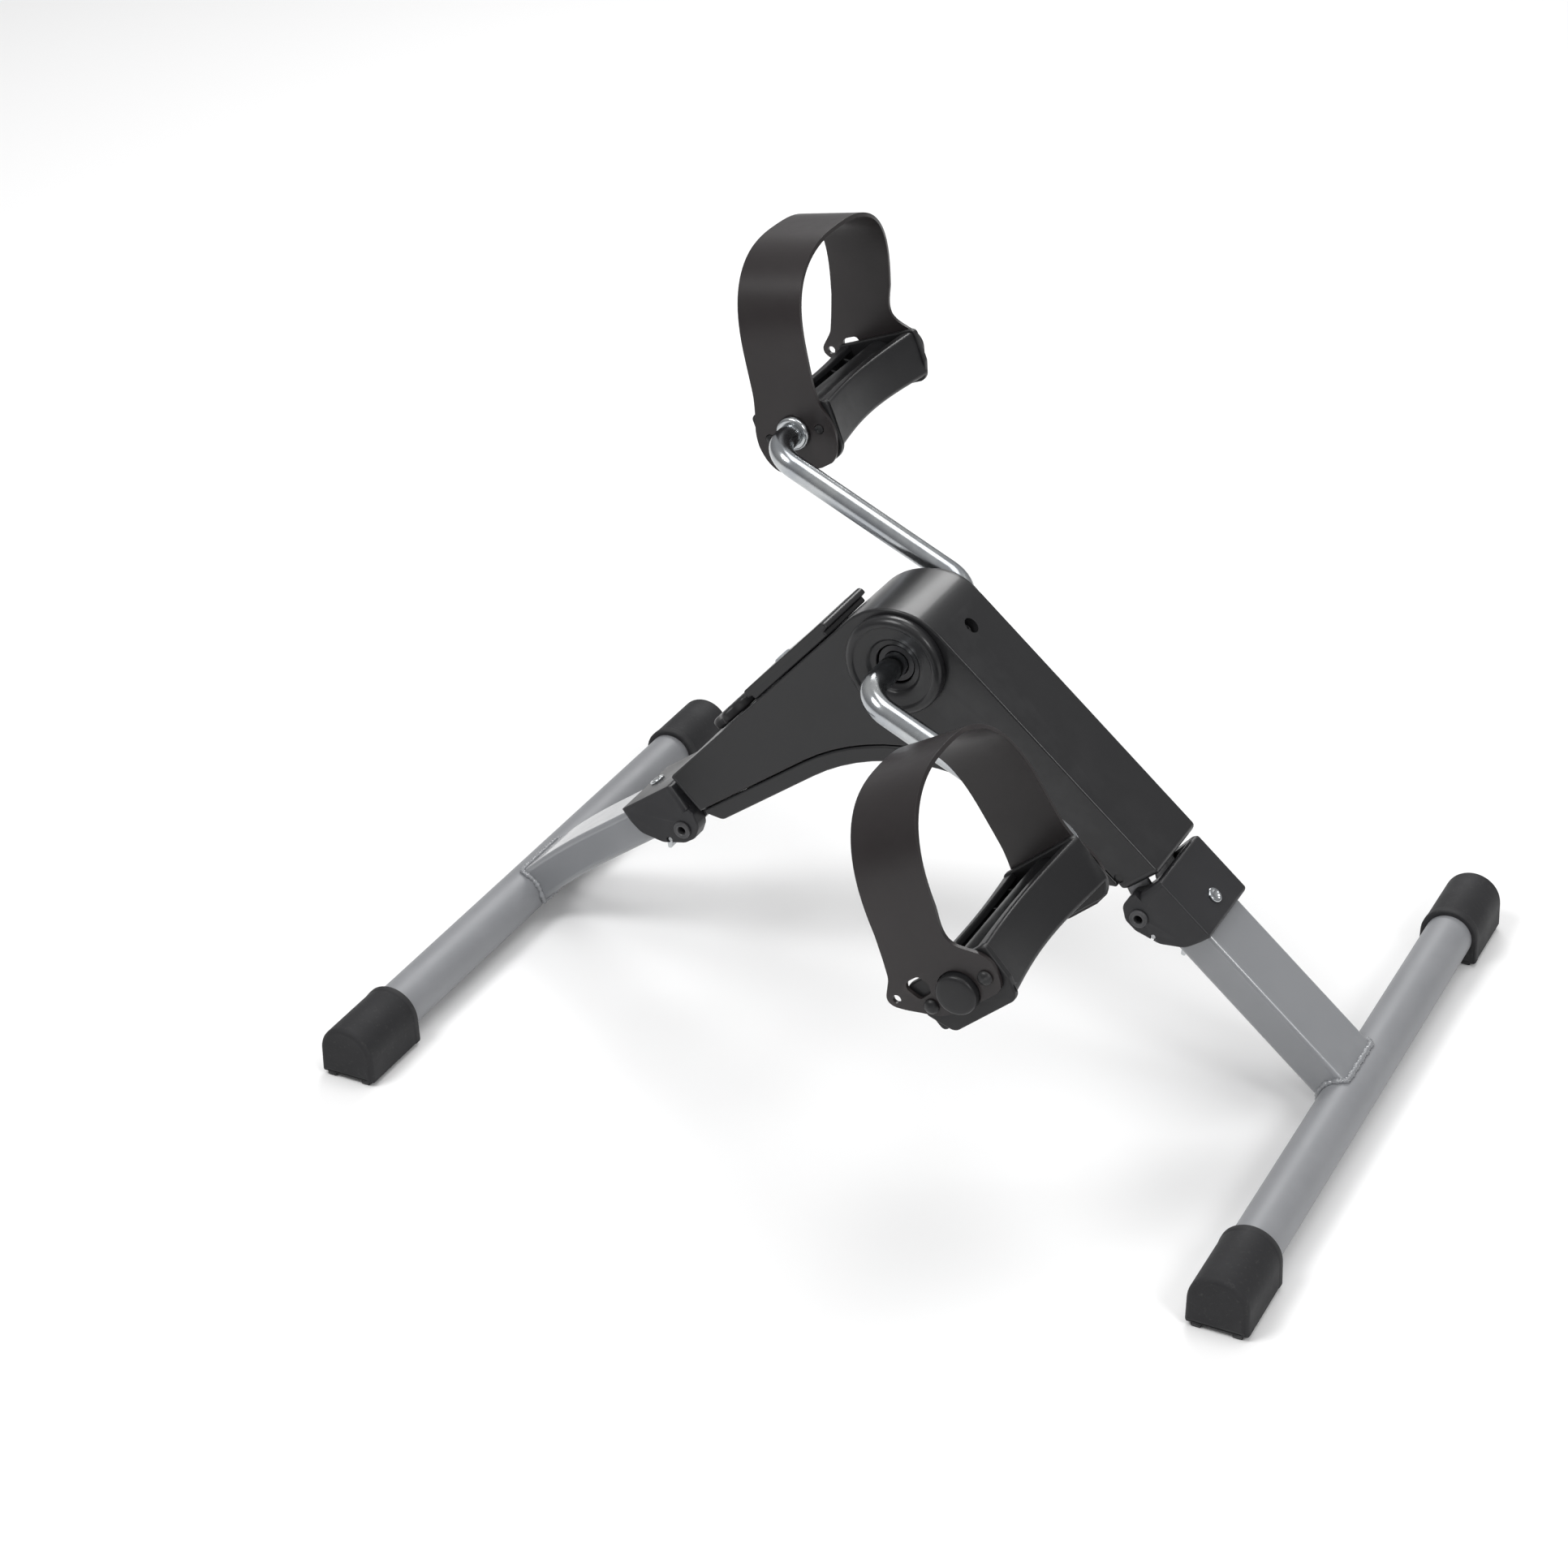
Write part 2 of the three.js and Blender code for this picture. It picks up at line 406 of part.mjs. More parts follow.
for (const [name, s, ax] of [['right', -1, axleR], ['left', 1, axleL]]) {
  const v = (x, y, z) => new THREE.Vector3(x, y, z);
  add(`crank_rod_${name}`, rod([v(CRANK_X, s * 1, CRANK_Z), v(CRANK_X, s * ARM_Y, CRANK_Z), v(ax[0], s * ARM_Y, ax[1]), v(ax[0], s * 203.4, ax[1])], BEND_R, ROD_R, 10, 46), 'plated');
  const y = (a) => s * a;
  const w = [[6.65, y(87.0)], [8.2, y(87.0)], [9.5, y(88.2)], [9.5, y(90.2)], [6.65, y(90.2)], [6.65, y(87.0)]];
  add(`axle_washer_${name}`, turnedY(s > 0 ? w : w.slice().reverse(), ...ax, 20), 'plated');
  add(`push_nut_${name}`, ring(...ax, 8.4, 6.65, Math.min(y(201.5), y(202.7)), Math.max(y(201.5), y(202.7)), 18), 'steel');
}
add('brake_drum', ring(CRANK_X, CRANK_Z, 20, 6.65, -8, 8, 32), 'steel');
add('crank_magnet', disc(CRANK_X + 14, CRANK_Z, 2.5, 8.3, 11.2, 12), 'blacksteel');

// ---------------------------------------------------------------- resistance control
{
  const kd = [-sr, cr];
  const kp = RP(KNOB_T(), REAR_N + 0.4);
  // lobed knob, its axis square to the back face
  const lobes = [];
  const K = 48;
  for (let i = 0; i < K; i++) { const a = 2 * Math.PI * i / K; const r = 17.2 + 1.1 * Math.cos(8 * a); lobes.push(new THREE.Vector2(r * Math.cos(a), r * Math.sin(a))); }
  const g = new THREE.ExtrudeGeometry(new THREE.Shape(lobes), { depth: 6.4, bevelEnabled: false });
  const q = new THREE.Quaternion().setFromUnitVectors(new THREE.Vector3(0, 0, 1), new THREE.Vector3(kd[0], 0, kd[1]));
  g.applyQuaternion(q); g.translate(kp[0], 0, kp[1]);
  const knobBore = pinAlong(RP(KNOB_T(), REAR_N - 2), kd, 3.3, 7, 0, 14);
  add('tension_knob', cut(g, knobBore), 'pedal');
  add('tension_screw', pinAlong(RP(KNOB_T(), 2), kd, 3.0, REAR_N + 4.4 - 2, 0, 14), 'steel');
  const n0 = RP(KNOB_T() - 7, 10), n1 = RP(KNOB_T() + 7, 10), n2 = RP(KNOB_T() + 7, 16), n3 = RP(KNOB_T() - 7, 16);
  add('tension_nut', cut(prism([n0, n1, n2, n3], -10, 10), pinAlong(RP(KNOB_T(), 0), kd, 3.3, 30, 0, 14)), 'steel');
  // friction band round the drum, its tail runs down to the nut
  const band = [];
  const a0 = rad(-100), a1 = rad(141.8);
  for (let i = 0; i <= 18; i++) { const a = a0 + (a1 - a0) * i / 18; band.push([CRANK_X + 22.6 * Math.cos(a), CRANK_Z + 22.6 * Math.sin(a)]); }
  const inner = [];
  for (let i = 18; i >= 0; i--) { const a = a0 + (a1 - a0) * i / 18; inner.push([CRANK_X + 20.6 * Math.cos(a), CRANK_Z + 20.6 * Math.sin(a)]); }
  const e = RP(KNOB_T() - 8.6, 12.2), e2 = RP(KNOB_T() - 8.6, 14.2);
  add('brake_band', prism([...band, e2, e, ...inner], -6.5, 6.5), 'felt');
}

// ---------------------------------------------------------------- display
{
  const base = 0.3;
  const P = (t, n) => RP(t, REAR_N + n);
  const tray = rounded([[...P(24, base), 1], [...P(24, 3), 0], [...P(20.5, 3.6), 1], [...P(20.5, 7.8), 2.6], [...P(89, 7.8), 1.5], [...P(89, 3.6), 0], [...P(86, 3), 0], [...P(86, base), 1]]);
  const shellBody = prism(tray, -22, 22);
  const room = prism([P(27, 1.8), P(83, 1.8), P(83, 5.9), P(27, 5.9)], -18.5, 18.5);
  const view = prism([P(30, 5), P(56, 5), P(56, 9), P(30, 9)], -16, 16);
  const recess = prism([P(28.6, 7.0), P(57.4, 7.0), P(57.4, 9), P(28.6, 9)], -17.4, 17.4);
  const btn = pinAlong(P(71, 4), [-sr, cr], 5.3, 6, 0, 20);
  const wire = pinAlong(P(54, -2), [-sr, cr], 2.5, 6, 0, 10);
  add('display_case', cut(shellBody, room, view, recess, btn, wire), 'shell');
  add('display_window', prism([P(28.9, 7.3), P(57.1, 7.3), P(57.1, 7.9), P(28.9, 7.9)], -17.1, 17.1), 'window');
  add('display_screen', prism([P(31, 4.9), P(55, 4.9), P(55, 6.9), P(31, 6.9)], -15, 15), 'window');
  add('circuit_board', cut(prism([P(28, 2.1), P(82, 2.1), P(82, 3.2), P(28, 3.2)], -17.5, 17.5), pinAlong(P(54, -2), [-sr, cr], 2.5, 6, 0, 10)), 'board');
  add('display_button', turned([[0, 0], [4.9, 0], [4.9, 3.6], [4.4, 4.2], [0, 4.5]], P(71, 4.4), [-sr, cr], 0, 20), 'button');
  add('reed_sensor', prism([[CRANK_X + 26, CRANK_Z - 4], [CRANK_X + 32, CRANK_Z - 4], [CRANK_X + 32, CRANK_Z + 4], [CRANK_X + 26, CRANK_Z + 4]], 8.6, 13.4), 'pedal');
}
// screw at the bottom of the round recess in the front face and two below
{
  const p = FP(299.3, 8), q = FP(299.3, 9), d = [q[0] - p[0], q[1] - p[1]];
  add('top_cover_screw', turned([[0, 0], [1.8, 0], [1.8, 3.6], [3.6, 4.2], [3.6, 5.6], [0, 5.6]], p, d, 0, 14), 'blacksteel');
  const heads = [['front', FP, 178], ['rear', GP, 200]];
  for (const [end, P, s] of heads) {
    const a = P(s, LOW_N - 1.7), b = P(s, LOW_N - 0.7), dd = [b[0] - a[0], b[1] - a[1]];
    add(`${end}_cover_screw`, turned([[0, 0], [3.3, 0], [3.8, 0.6], [3.8, 1.3], [2.0, 1.3], [2.0, 14.2], [0, 14.8]], a, dd, 0, 14), 'blacksteel');
  }
}

// ---------------------------------------------------------------- pedals
function pedal(name, s, ax, tiltDeg) {
  const c = Math.cos(rad(tiltDeg)), n = Math.sin(rad(tiltDeg));
  const P = (u, w) => [ax[0] + c * u - n * w, ax[1] + n * u + c * w];
  const slab = (pts, a, b) => prism(pts, Math.min(s * a, s * b), Math.max(s * a, s * b));
  // side plates
  const inner = rounded([[...P(-24, 13), 3], [...P(-24, -20), 10], [...P(24, -20), 10], [...P(24, 13), 3]]);
  const outer = rounded([[...P(-25, 13), 3], [...P(-25, -4), 4], [...P(-18, -16.5), 5], [...P(22, -16.5), 5], [...P(25.5, -6), 4], [...P(25.5, 13), 3]]);
  const plates = [slab(inner, PED_IN, PED_IN + 4), slab(outer, PED_OUT - 4, PED_OUT)];
  // cross bars, waisted between the plates; drawn from above (u, y) and extruded over w
  const bars = [];
  for (const q of [1, -1]) {
    const pts = [];
    const N = 10, a = PED_IN + 2, b = PED_OUT - 2;
    for (let i = 0; i <= N; i++) { const k = i / N; pts.push([q * (24.5 - 6 * Math.sin(Math.PI * k)), a + (b - a) * k]); }
    for (let i = N; i >= 0; i--) { const k = i / N; pts.push([q * (17 - 4 * Math.sin(Math.PI * k)), a + (b - a) * k]); }
    const shape = new THREE.Shape(pts.map((p) => new THREE.Vector2(p[0], s * p[1])));
    const g = new THREE.ExtrudeGeometry(shape, { depth: 26, bevelEnabled: false });
    g.translate(0, 0, -14);
    g.rotateY(-rad(tiltDeg));
    g.translate(ax[0], 0, ax[1]);
    bars.push(g);
  }
  const hub = disc(...ax, 11, Math.min(s * (PED_IN + 1), s * (PED_OUT - 1)), Math.max(s * (PED_IN + 1), s * (PED_OUT - 1)), 20);
  const rib = slab([P(-18, -2), P(18, -2), P(18, 2), P(-18, 2)], 145, 149);
  const peg = (u, w) => slab(circle(...P(u, w), 2.6, 10), PED_OUT - 1, PED_OUT + 3.6);
  const bore = disc(...ax, 8.3, -300, 300, 20);
  const body = cut(join(...plates, ...bars, hub, rib, peg(-17.3, 0), peg(17.3, 0)), bore);
  add(`pedal_body_${name}`, body, 'pedal');
  const y0 = PED_IN + 0.3, y1 = PED_OUT - 0.2;
  add(`pedal_sleeve_${name}`, ring(...ax, 8.0, 6.65, Math.min(s * y0, s * y1), Math.max(s * y0, s * y1), 20), 'nylon');
  const y = (a) => s * a;
  const cap = [[0, y(208.2)], [8.6, y(207.9)], [10.2, y(206.6)], [10.2, y(201.3)], [8.8, y(201.3)], [8.8, y(206)], [0, y(206)]];
  add(`axle_cap_${name}`, turnedY(s > 0 ? cap.slice().reverse() : cap, ...ax, 24), 'pedal');
  // strap: a tab on each plate and an arched band between them
  const tIn = [PED_IN - GAP - STRAP_T, PED_IN - GAP], tOut = [PED_OUT + GAP, PED_OUT + GAP + STRAP_T];
  const mid = (tIn[0] + tOut[1]) / 2, half = (tOut[1] - tIn[0]) / 2;
  const arch = (h) => {
    const pts = [], N = 16, base = 40, top = 94 - (half - h);
    pts.push([mid - h, -4]);
    for (let i = 0; i <= N; i++) {
      const a = Math.PI * (1 - i / N), e = 2 / 2.6;
      const cx = Math.sign(Math.cos(a)) * Math.abs(Math.cos(a)) ** e, cz = Math.abs(Math.sin(a)) ** e;
      pts.push([mid + h * cx, base + (top - base) * cz]);
    }
    pts.push([mid + h, -4]);
    return pts;
  };
  const o = arch(half), ii = arch(half - STRAP_T).reverse();
  const shape = new THREE.Shape([...o, ...ii].map((p) => new THREE.Vector2(p[0], p[1])));
  const bandG = new THREE.ExtrudeGeometry(shape, { depth: STRAP_W, bevelEnabled: false, steps: 2 });
  const pos = bandG.attributes.position;
  for (let i = 0; i < pos.count; i++) {
    const yy = pos.getX(i), w = pos.getY(i), u0 = pos.getZ(i) - STRAP_W / 2;
    const k = (yy - tIn[0]) / (tOut[1] - tIn[0]);
    const up = Math.max(0, w - 10);
    const u = u0 + (1 - k) * (0 + 0.16 * up) + k * (-11 + 0.34 * up);
    const ww = w - 0.2 * u0 * Math.min(1, up / 80);
    pos.setXYZ(i, ax[0] + c * u - n * ww, s * yy, ax[1] + n * u + c * ww);
  }
  let gb = bandG;
  if (s < 0) { // mirror changed the handedness: turn the faces
    gb = bandG.clone();
    const p = gb.attributes.position;
    for (let i = 0; i < p.count; i += 3) {
      const a = [p.getX(i), p.getY(i), p.getZ(i)], b = [p.getX(i + 1), p.getY(i + 1), p.getZ(i + 1)];
      p.setXYZ(i, ...b); p.setXYZ(i + 1, ...a);
    }
  }
  const tabIn = slab(rounded([[...P(-19, 20), 2], [...P(-24, -2), 12], [...P(-22, -22), 12], [...P(22, -21), 12], [...P(24, -2), 12], [...P(19, 20), 2]]), ...tIn);
  const tabOut = slab(rounded([[...P(-30, 24), 2], [...P(-37, 8), 6], [...P(-20, -7), 8], [...P(20, -9), 8], [...P(25, 4), 8], [...P(9, 24), 2]]), ...tOut);
  const holes = [slab(circle(...ax, 7.4, 20), 80, 100), slab(circle(...ax, 10.8, 24), 195, 210),
    slab(circle(...P(-17.3, 0), 3.0, 12), 195, 210), slab(circle(...P(17.3, 0), 3.0, 12), 195, 210), slab(circle(...P(-29, 9), 2.4, 10), 195, 210),
    slab(circle(...P(-16, -2), 2.6, 10), 80, 100), slab(circle(...P(15, -2), 2.6, 10), 80, 100)];
  add(`strap_${name}`, cut(join(gb, tabIn, tabOut), ...holes), 'strap');
}
pedal('right', -1, axleR, TILT_R);
pedal('left', 1, axleL, TILT_L);

export default root;
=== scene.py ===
"""Folding floor pedal exerciser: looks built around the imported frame."""
import bpy, math, json
from mathutils import Vector, Matrix


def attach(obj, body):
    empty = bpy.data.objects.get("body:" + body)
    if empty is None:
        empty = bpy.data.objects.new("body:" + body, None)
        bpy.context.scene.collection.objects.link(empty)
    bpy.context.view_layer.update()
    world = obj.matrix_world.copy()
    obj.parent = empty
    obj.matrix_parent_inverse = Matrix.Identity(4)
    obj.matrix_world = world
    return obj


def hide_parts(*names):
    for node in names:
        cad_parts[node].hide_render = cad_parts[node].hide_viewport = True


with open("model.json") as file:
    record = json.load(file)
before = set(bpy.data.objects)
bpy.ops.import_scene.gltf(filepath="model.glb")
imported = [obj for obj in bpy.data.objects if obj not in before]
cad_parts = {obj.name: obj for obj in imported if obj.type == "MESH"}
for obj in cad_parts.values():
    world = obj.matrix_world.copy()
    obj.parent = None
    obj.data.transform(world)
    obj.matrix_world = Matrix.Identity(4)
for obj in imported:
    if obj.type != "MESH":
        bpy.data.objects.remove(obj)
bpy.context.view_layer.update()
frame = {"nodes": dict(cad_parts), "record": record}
MM = 0.001

# ------------------------------------------------------------------ dimensions, in millimetres
BAR_X, BAR_Z, BAR_R, BAR_HALF = 237.25, 15.5, 12.7, 191.0
CAP_END, CAP_LEN = 195.5, 45.3
FRONT, REAR, GREAR = math.radians(41.8), math.radians(47.4), math.radians(36)
CX, CZ, ROD_R, ARM, ARM_A, ARM_Y = -3.1, 213.0, 6.35, 127.6, math.radians(25.9), 64.4
HALF_W, TOP_N, LOW_N, SEAM_N, REAR_N, END_S = 25.5, 17.2, -15.5, -6.0, 32.0, 151.0
PIN_S, PIN_N, LATCH_S, LATCH_N, RIVET_S, TUBE_TOP = 136.6, -10.6, 124.8, -12.6, 119.0, 124.0
PED_IN, PED_OUT, KNOB_T = 93.0, 201.0, 112.0
cf, sf, cr, sr, cg, sg = math.cos(FRONT), math.sin(FRONT), math.cos(REAR), math.sin(REAR), math.cos(GREAR), math.sin(GREAR)


def FP(s, n): return (BAR_X - cf * s + sf * n, BAR_Z + sf * s + cf * n)
def RP(t, n): return (CX - cr * t - sr * n, CZ - sr * t + cr * n)
def GP(s, n): return (-125 + cg * (s - 150) - sg * n, 102 + sg * (s - 150) + cg * n)


AX_R = (CX + ARM * math.cos(ARM_A), CZ - ARM * math.sin(ARM_A))
AX_L = (CX - ARM * math.cos(ARM_A), CZ + ARM * math.sin(ARM_A))


# ------------------------------------------------------------------ 2-D tools
def meet(p, p2, q, q2):
    d, e = (p2[0] - p[0], p2[1] - p[1]), (q2[0] - q[0], q2[1] - q[1])
    k = ((q[0] - p[0]) * e[1] - (q[1] - p[1]) * e[0]) / (d[0] * e[1] - d[1] * e[0])
    return (p[0] + d[0] * k, p[1] + d[1] * k)


def rounded(corners, step=9.0):
    out, m = [], len(corners)
    for i in range(m):
        a, b, c = corners[i - 1], corners[i], corners[(i + 1) % m]
        r = b[2] if len(b) > 2 else 0
        if not r:
            out.append((b[0], b[1])); continue
        u = Vector((a[0] - b[0], a[1] - b[1])).normalized()
        v = Vector((c[0] - b[0], c[1] - b[1])).normalized()
        ang = math.acos(max(-1, min(1, u.dot(v))))
        t = r / math.tan(ang / 2)
        bis = (u + v).normalized() * (r / math.sin(ang / 2))
        cx, cz = b[0] + bis.x, b[1] + bis.y
        a0 = math.atan2(b[1] + u.y * t - cz, b[0] + u.x * t - cx)
        a1 = math.atan2(b[1] + v.y * t - cz, b[0] + v.x * t - cx)
        d = a1 - a0
        while d > math.pi: d -= 2 * math.pi
        while d < -math.pi: d += 2 * math.pi
        k = max(2, math.ceil(abs(math.degrees(d)) / step))
        out += [(cx + r * math.cos(a0 + d * j / k), cz + r * math.sin(a0 + d * j / k)) for j in range(k + 1)]
    return clean(out)


def clean(p, eps=0.02):
    out = []
    for q in p:
        if not out or math.hypot(q[0] - out[-1][0], q[1] - out[-1][1]) > eps: out.append(q)
    while len(out) > 2 and math.hypot(out[0][0] - out[-1][0], out[0][1] - out[-1][1]) <= eps: out.pop()
    return out


def area(p): return 0.5 * sum(p[i - 1][0] * p[i][1] - p[i][0] * p[i - 1][1] for i in range(len(p)))


def inset(p, d):
    """Every edge of the outline moved inward by d."""
    if abs(d) < 1e-9: return list(p)
    s = 1 if area(p) > 0 else -1
    out, m = [], len(p)
    for i in range(m):
        a, b, c = p[i - 1], p[i], p[(i + 1) % m]
        e0 = Vector((b[0] - a[0], b[1] - a[1])).normalized(); e1 = Vector((c[0] - b[0], c[1] - b[1])).normalized()
        n0, n1 = Vector((-e0.y, e0.x)) * s, Vector((-e1.y, e1.x)) * s
        n = n0 + n1
        if n.length < 1e-6: n = n0.copy()
        n.normalize()
        k = d / max(0.42, n.dot(n0))
        out.append((b[0] + n.x * k, b[1] + n.y * k))
    return out


def circle(x, z, r, k=40): return [(x + r * math.cos(2 * math.pi * i / k), z + r * math.sin(2 * math.pi * i / k)) for i in range(k)]


# ------------------------------------------------------------------ mesh builder
class M:
    def __init__(self): self.v, self.f = [], []

    def add(self, verts, faces):
        o = len(self.v)
        self.v += [tuple(x) for x in verts]
        self.f += [tuple(i + o for i in f) for f in faces]
        return self

    def loft(self, rings, closed=False):
        """Skin over rings of equal length, closed with a face at each end."""
        k, n = len(rings[0]), len(rings)
        v = [p for r in rings for p in r]
        f = [(a * k + i, a * k + (i + 1) % k, ((a + 1) % n) * k + (i + 1) % k, ((a + 1) % n) * k + i) for a in range(n if closed else n - 1) for i in range(k)]
        if not closed: f += [tuple(reversed(range(k))), tuple((n - 1) * k + i for i in range(k))]
        return self.add(v, f)

    def prism(self, pts, y0, y1, r=0.5, k=3, place=None, r0=None, r1=None):
        """Outline in X-Z drawn along Y, its two end edges rounded."""
        place = place or (lambda p, h: (p[0], h, p[1]))
        pts = clean(pts)
        r0, r1 = r if r0 is None else r0, r if r1 is None else r1
        rings = []
        for e, sgn, y in ((r0, 1, y0), (r1, -1, y1)):
            part = []
            for j in range(k + 1) if e > 0 else [k]:
                a = math.radians(90) * j / k
                part.append((y + sgn * e * (1 - math.cos(a)), e * (1 - math.sin(a))))
            rings += part if sgn > 0 else part[::-1]
        return self.loft([[place(q, h) for q in inset(pts, d)] for h, d in rings])

    def lathe(self, prof, p, axis, seg=48, wave=None):
        """Closed profile [radius, height] turned about an axis from p."""
        a = Vector(axis).normalized()
        q = Vector((0, 0, 1)).rotation_difference(a) if (a - Vector((0, 0, -1))).length > 1e-6 else Matrix.Rotation(math.pi, 3, "X").to_quaternion()
        prof = [tuple(x) for x in prof]
        if prof[0] == prof[-1]: prof = prof[:-1]
        v, f, idx = [], [], []
        for r, h in prof:
            if r < 1e-6:
                v.append(Vector(p) + q @ Vector((0, 0, h))); idx.append([len(v) - 1] * seg)
            else:
                ring = []
                for i in range(seg):
                    t = 2 * math.pi * i / seg
                    w = r * (1 + (wave(t, h) if wave else 0))
                    v.append(Vector(p) + q @ Vector((w * math.cos(t), w * math.sin(t), h))); ring.append(len(v) - 1)
                idx.append(ring)
        n = len(idx)
        for a_ in range(n):
            r0, r1 = idx[a_], idx[(a_ + 1) % n]
            for i in range(seg):
                q4 = [r0[i], r0[(i + 1) % seg], r1[(i + 1) % seg], r1[i]]
                u = [x for j, x in enumerate(q4) if x != q4[j - 1]]
                if len(set(u)) >= 3: f.append(tuple(u))
        return self.add(v, f)

    def sweep(self, path, section, closed=False, up=(0, 1, 0), size=None):
        """A 2-D section carried along a path; size(i) scales it."""
        path = [Vector(p) for p in path]
        n, rings, prev = len(path), [], Vector(up)
        for i in range(n):
            a = path[(i - 1) % n] if closed or i else path[i]
            b = path[(i + 1) % n] if closed or i < n - 1 else path[i]
            t = (b - a).normalized()
            u = (prev - t * prev.dot(t)).normalized(); w = t.cross(u)
            prev = u
            k = size(i) if size else 1
            rings.append([path[i] + (u * x + w * z) * k for x, z in section])
        return self.loft(rings, closed)

    def obj(self, name):
        me = bpy.data.meshes.new(name)
        me.from_pydata([(x * MM, y * MM, z * MM) for x, y, z in self.v], [], self.f)
        me.validate(); me.update()
        o = bpy.data.objects.new(name, me)
        bpy.context.scene.collection.objects.link(o)
        normals_out(o)
        return o


import bmesh


def normals_out(o, weld=2e-6):
    bm = bmesh.new(); bm.from_mesh(o.data)
    bmesh.ops.remove_doubles(bm, verts=bm.verts, dist=weld)
    bmesh.ops.dissolve_degenerate(bm, edges=bm.edges, dist=weld)
    bmesh.ops.recalc_face_normals(bm, faces=bm.faces)
    if bm.calc_volume(signed=True) < 0:
        bmesh.ops.reverse_faces(bm, faces=bm.faces)
    bm.to_mesh(o.data); bm.free(); o.data.update()


def bake(o):
    bpy.context.view_layer.update()
    dg = bpy.context.evaluated_depsgraph_get()
    me = bpy.data.meshes.new_from_object(o.evaluated_get(dg))
    o.modifiers.clear()
    old = o.data; o.data = me
    bpy.data.meshes.remove(old)
    me.name = o.name


def volume(me):
    bm = bmesh.new(); bm.from_mesh(me)
    v = bm.calc_volume(signed=True) * 1e9
    bad = sum(1 for e in bm.edges if len(e.link_faces) != 2)
    bm.free()
    return v, bad


def step(o, t, kind):
    """One exact boolean; says whether its result is sound, and keeps it only then."""
    v0, b0 = volume(o.data); vt, _ = volume(t.data)
    for solver in ("MANIFOLD", "EXACT"):
        m = o.modifiers.new("b", "BOOLEAN"); m.operation = kind; m.object = t; m.solver = solver
        bpy.context.view_layer.update()
        me = bpy.data.meshes.new_from_object(o.evaluated_get(bpy.context.evaluated_depsgraph_get()))
        o.modifiers.clear()
        v1, b1 = volume(me)
        ok = b1 <= b0 and ((v1 >= max(v0, vt) - 2 and v1 <= v0 + vt + 2) if kind == "UNION" else (v0 + 2 >= v1 >= v0 - vt - 2 and v1 > 0))
        if ok:
            old = o.data; o.data = me; bpy.data.meshes.remove(old); me.name = o.name
            return True
        bpy.data.meshes.remove(me)
    return False


def csg(o, cuts=(), joins=(), late=()):
    """The object with the joins added, the cuts taken away, then the late joins added."""
    for kind, items in (("UNION", joins), ("DIFFERENCE", cuts), ("UNION", late)):
        for i, c in enumerate(items):
            t = c.obj("tool"); t.hide_render = True
            if not step(o, t, kind):
                print("CSG", o.name, kind, i, "left as it was")
                if kind == "UNION":
                    bm = bmesh.new(); bm.from_mesh(o.data); bm.from_mesh(t.data); bm.to_mesh(o.data); bm.free()
            me = t.data; bpy.data.objects.remove(t); bpy.data.meshes.remove(me)
    bm = bmesh.new(); bm.from_mesh(o.data)
    bmesh.ops.remove_doubles(bm, verts=bm.verts, dist=2e-7)
    bm.to_mesh(o.data); bm.free()
    return o


def cut_ngons(o):
    """Many-sided faces cut into triangles, so that hollow outlines shade right."""
    bm = bmesh.new(); bm.from_mesh(o.data)
    bmesh.ops.triangulate(bm, faces=[f for f in bm.faces if len(f.verts) > 4], ngon_method="EAR_CLIP")
    bm.to_mesh(o.data); bm.free(); o.data.update()


MATS = {}


def done(o, body, mat, nodes=(), bevel=0.0, sharp=38, seg=2, limit=50, smooth=True):
    me = o.data
    me.materials.clear(); me.materials.append(MATS[mat])
    if bevel:
        m = o.modifiers.new("edge", "BEVEL"); m.width = bevel * MM; m.segments = seg; m.limit_method = "ANGLE"; m.angle_limit = math.radians(limit)
        m.use_clamp_overlap = True; m.miter_outer = "MITER_ARC"
        bake(o); me = o.data
        normals_out(o, 1e-7)
    cut_ngons(o); me = o.data
    if smooth:
        me.polygons.foreach_set("use_smooth", [True] * len(me.polygons))
        me.set_sharp_from_angle(angle=math.radians(sharp))
        w = o.modifiers.new("shade", "WEIGHTED_NORMAL"); w.keep_sharp = True; w.weight = 60
    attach(o, body)
    if nodes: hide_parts(*nodes)
    return o


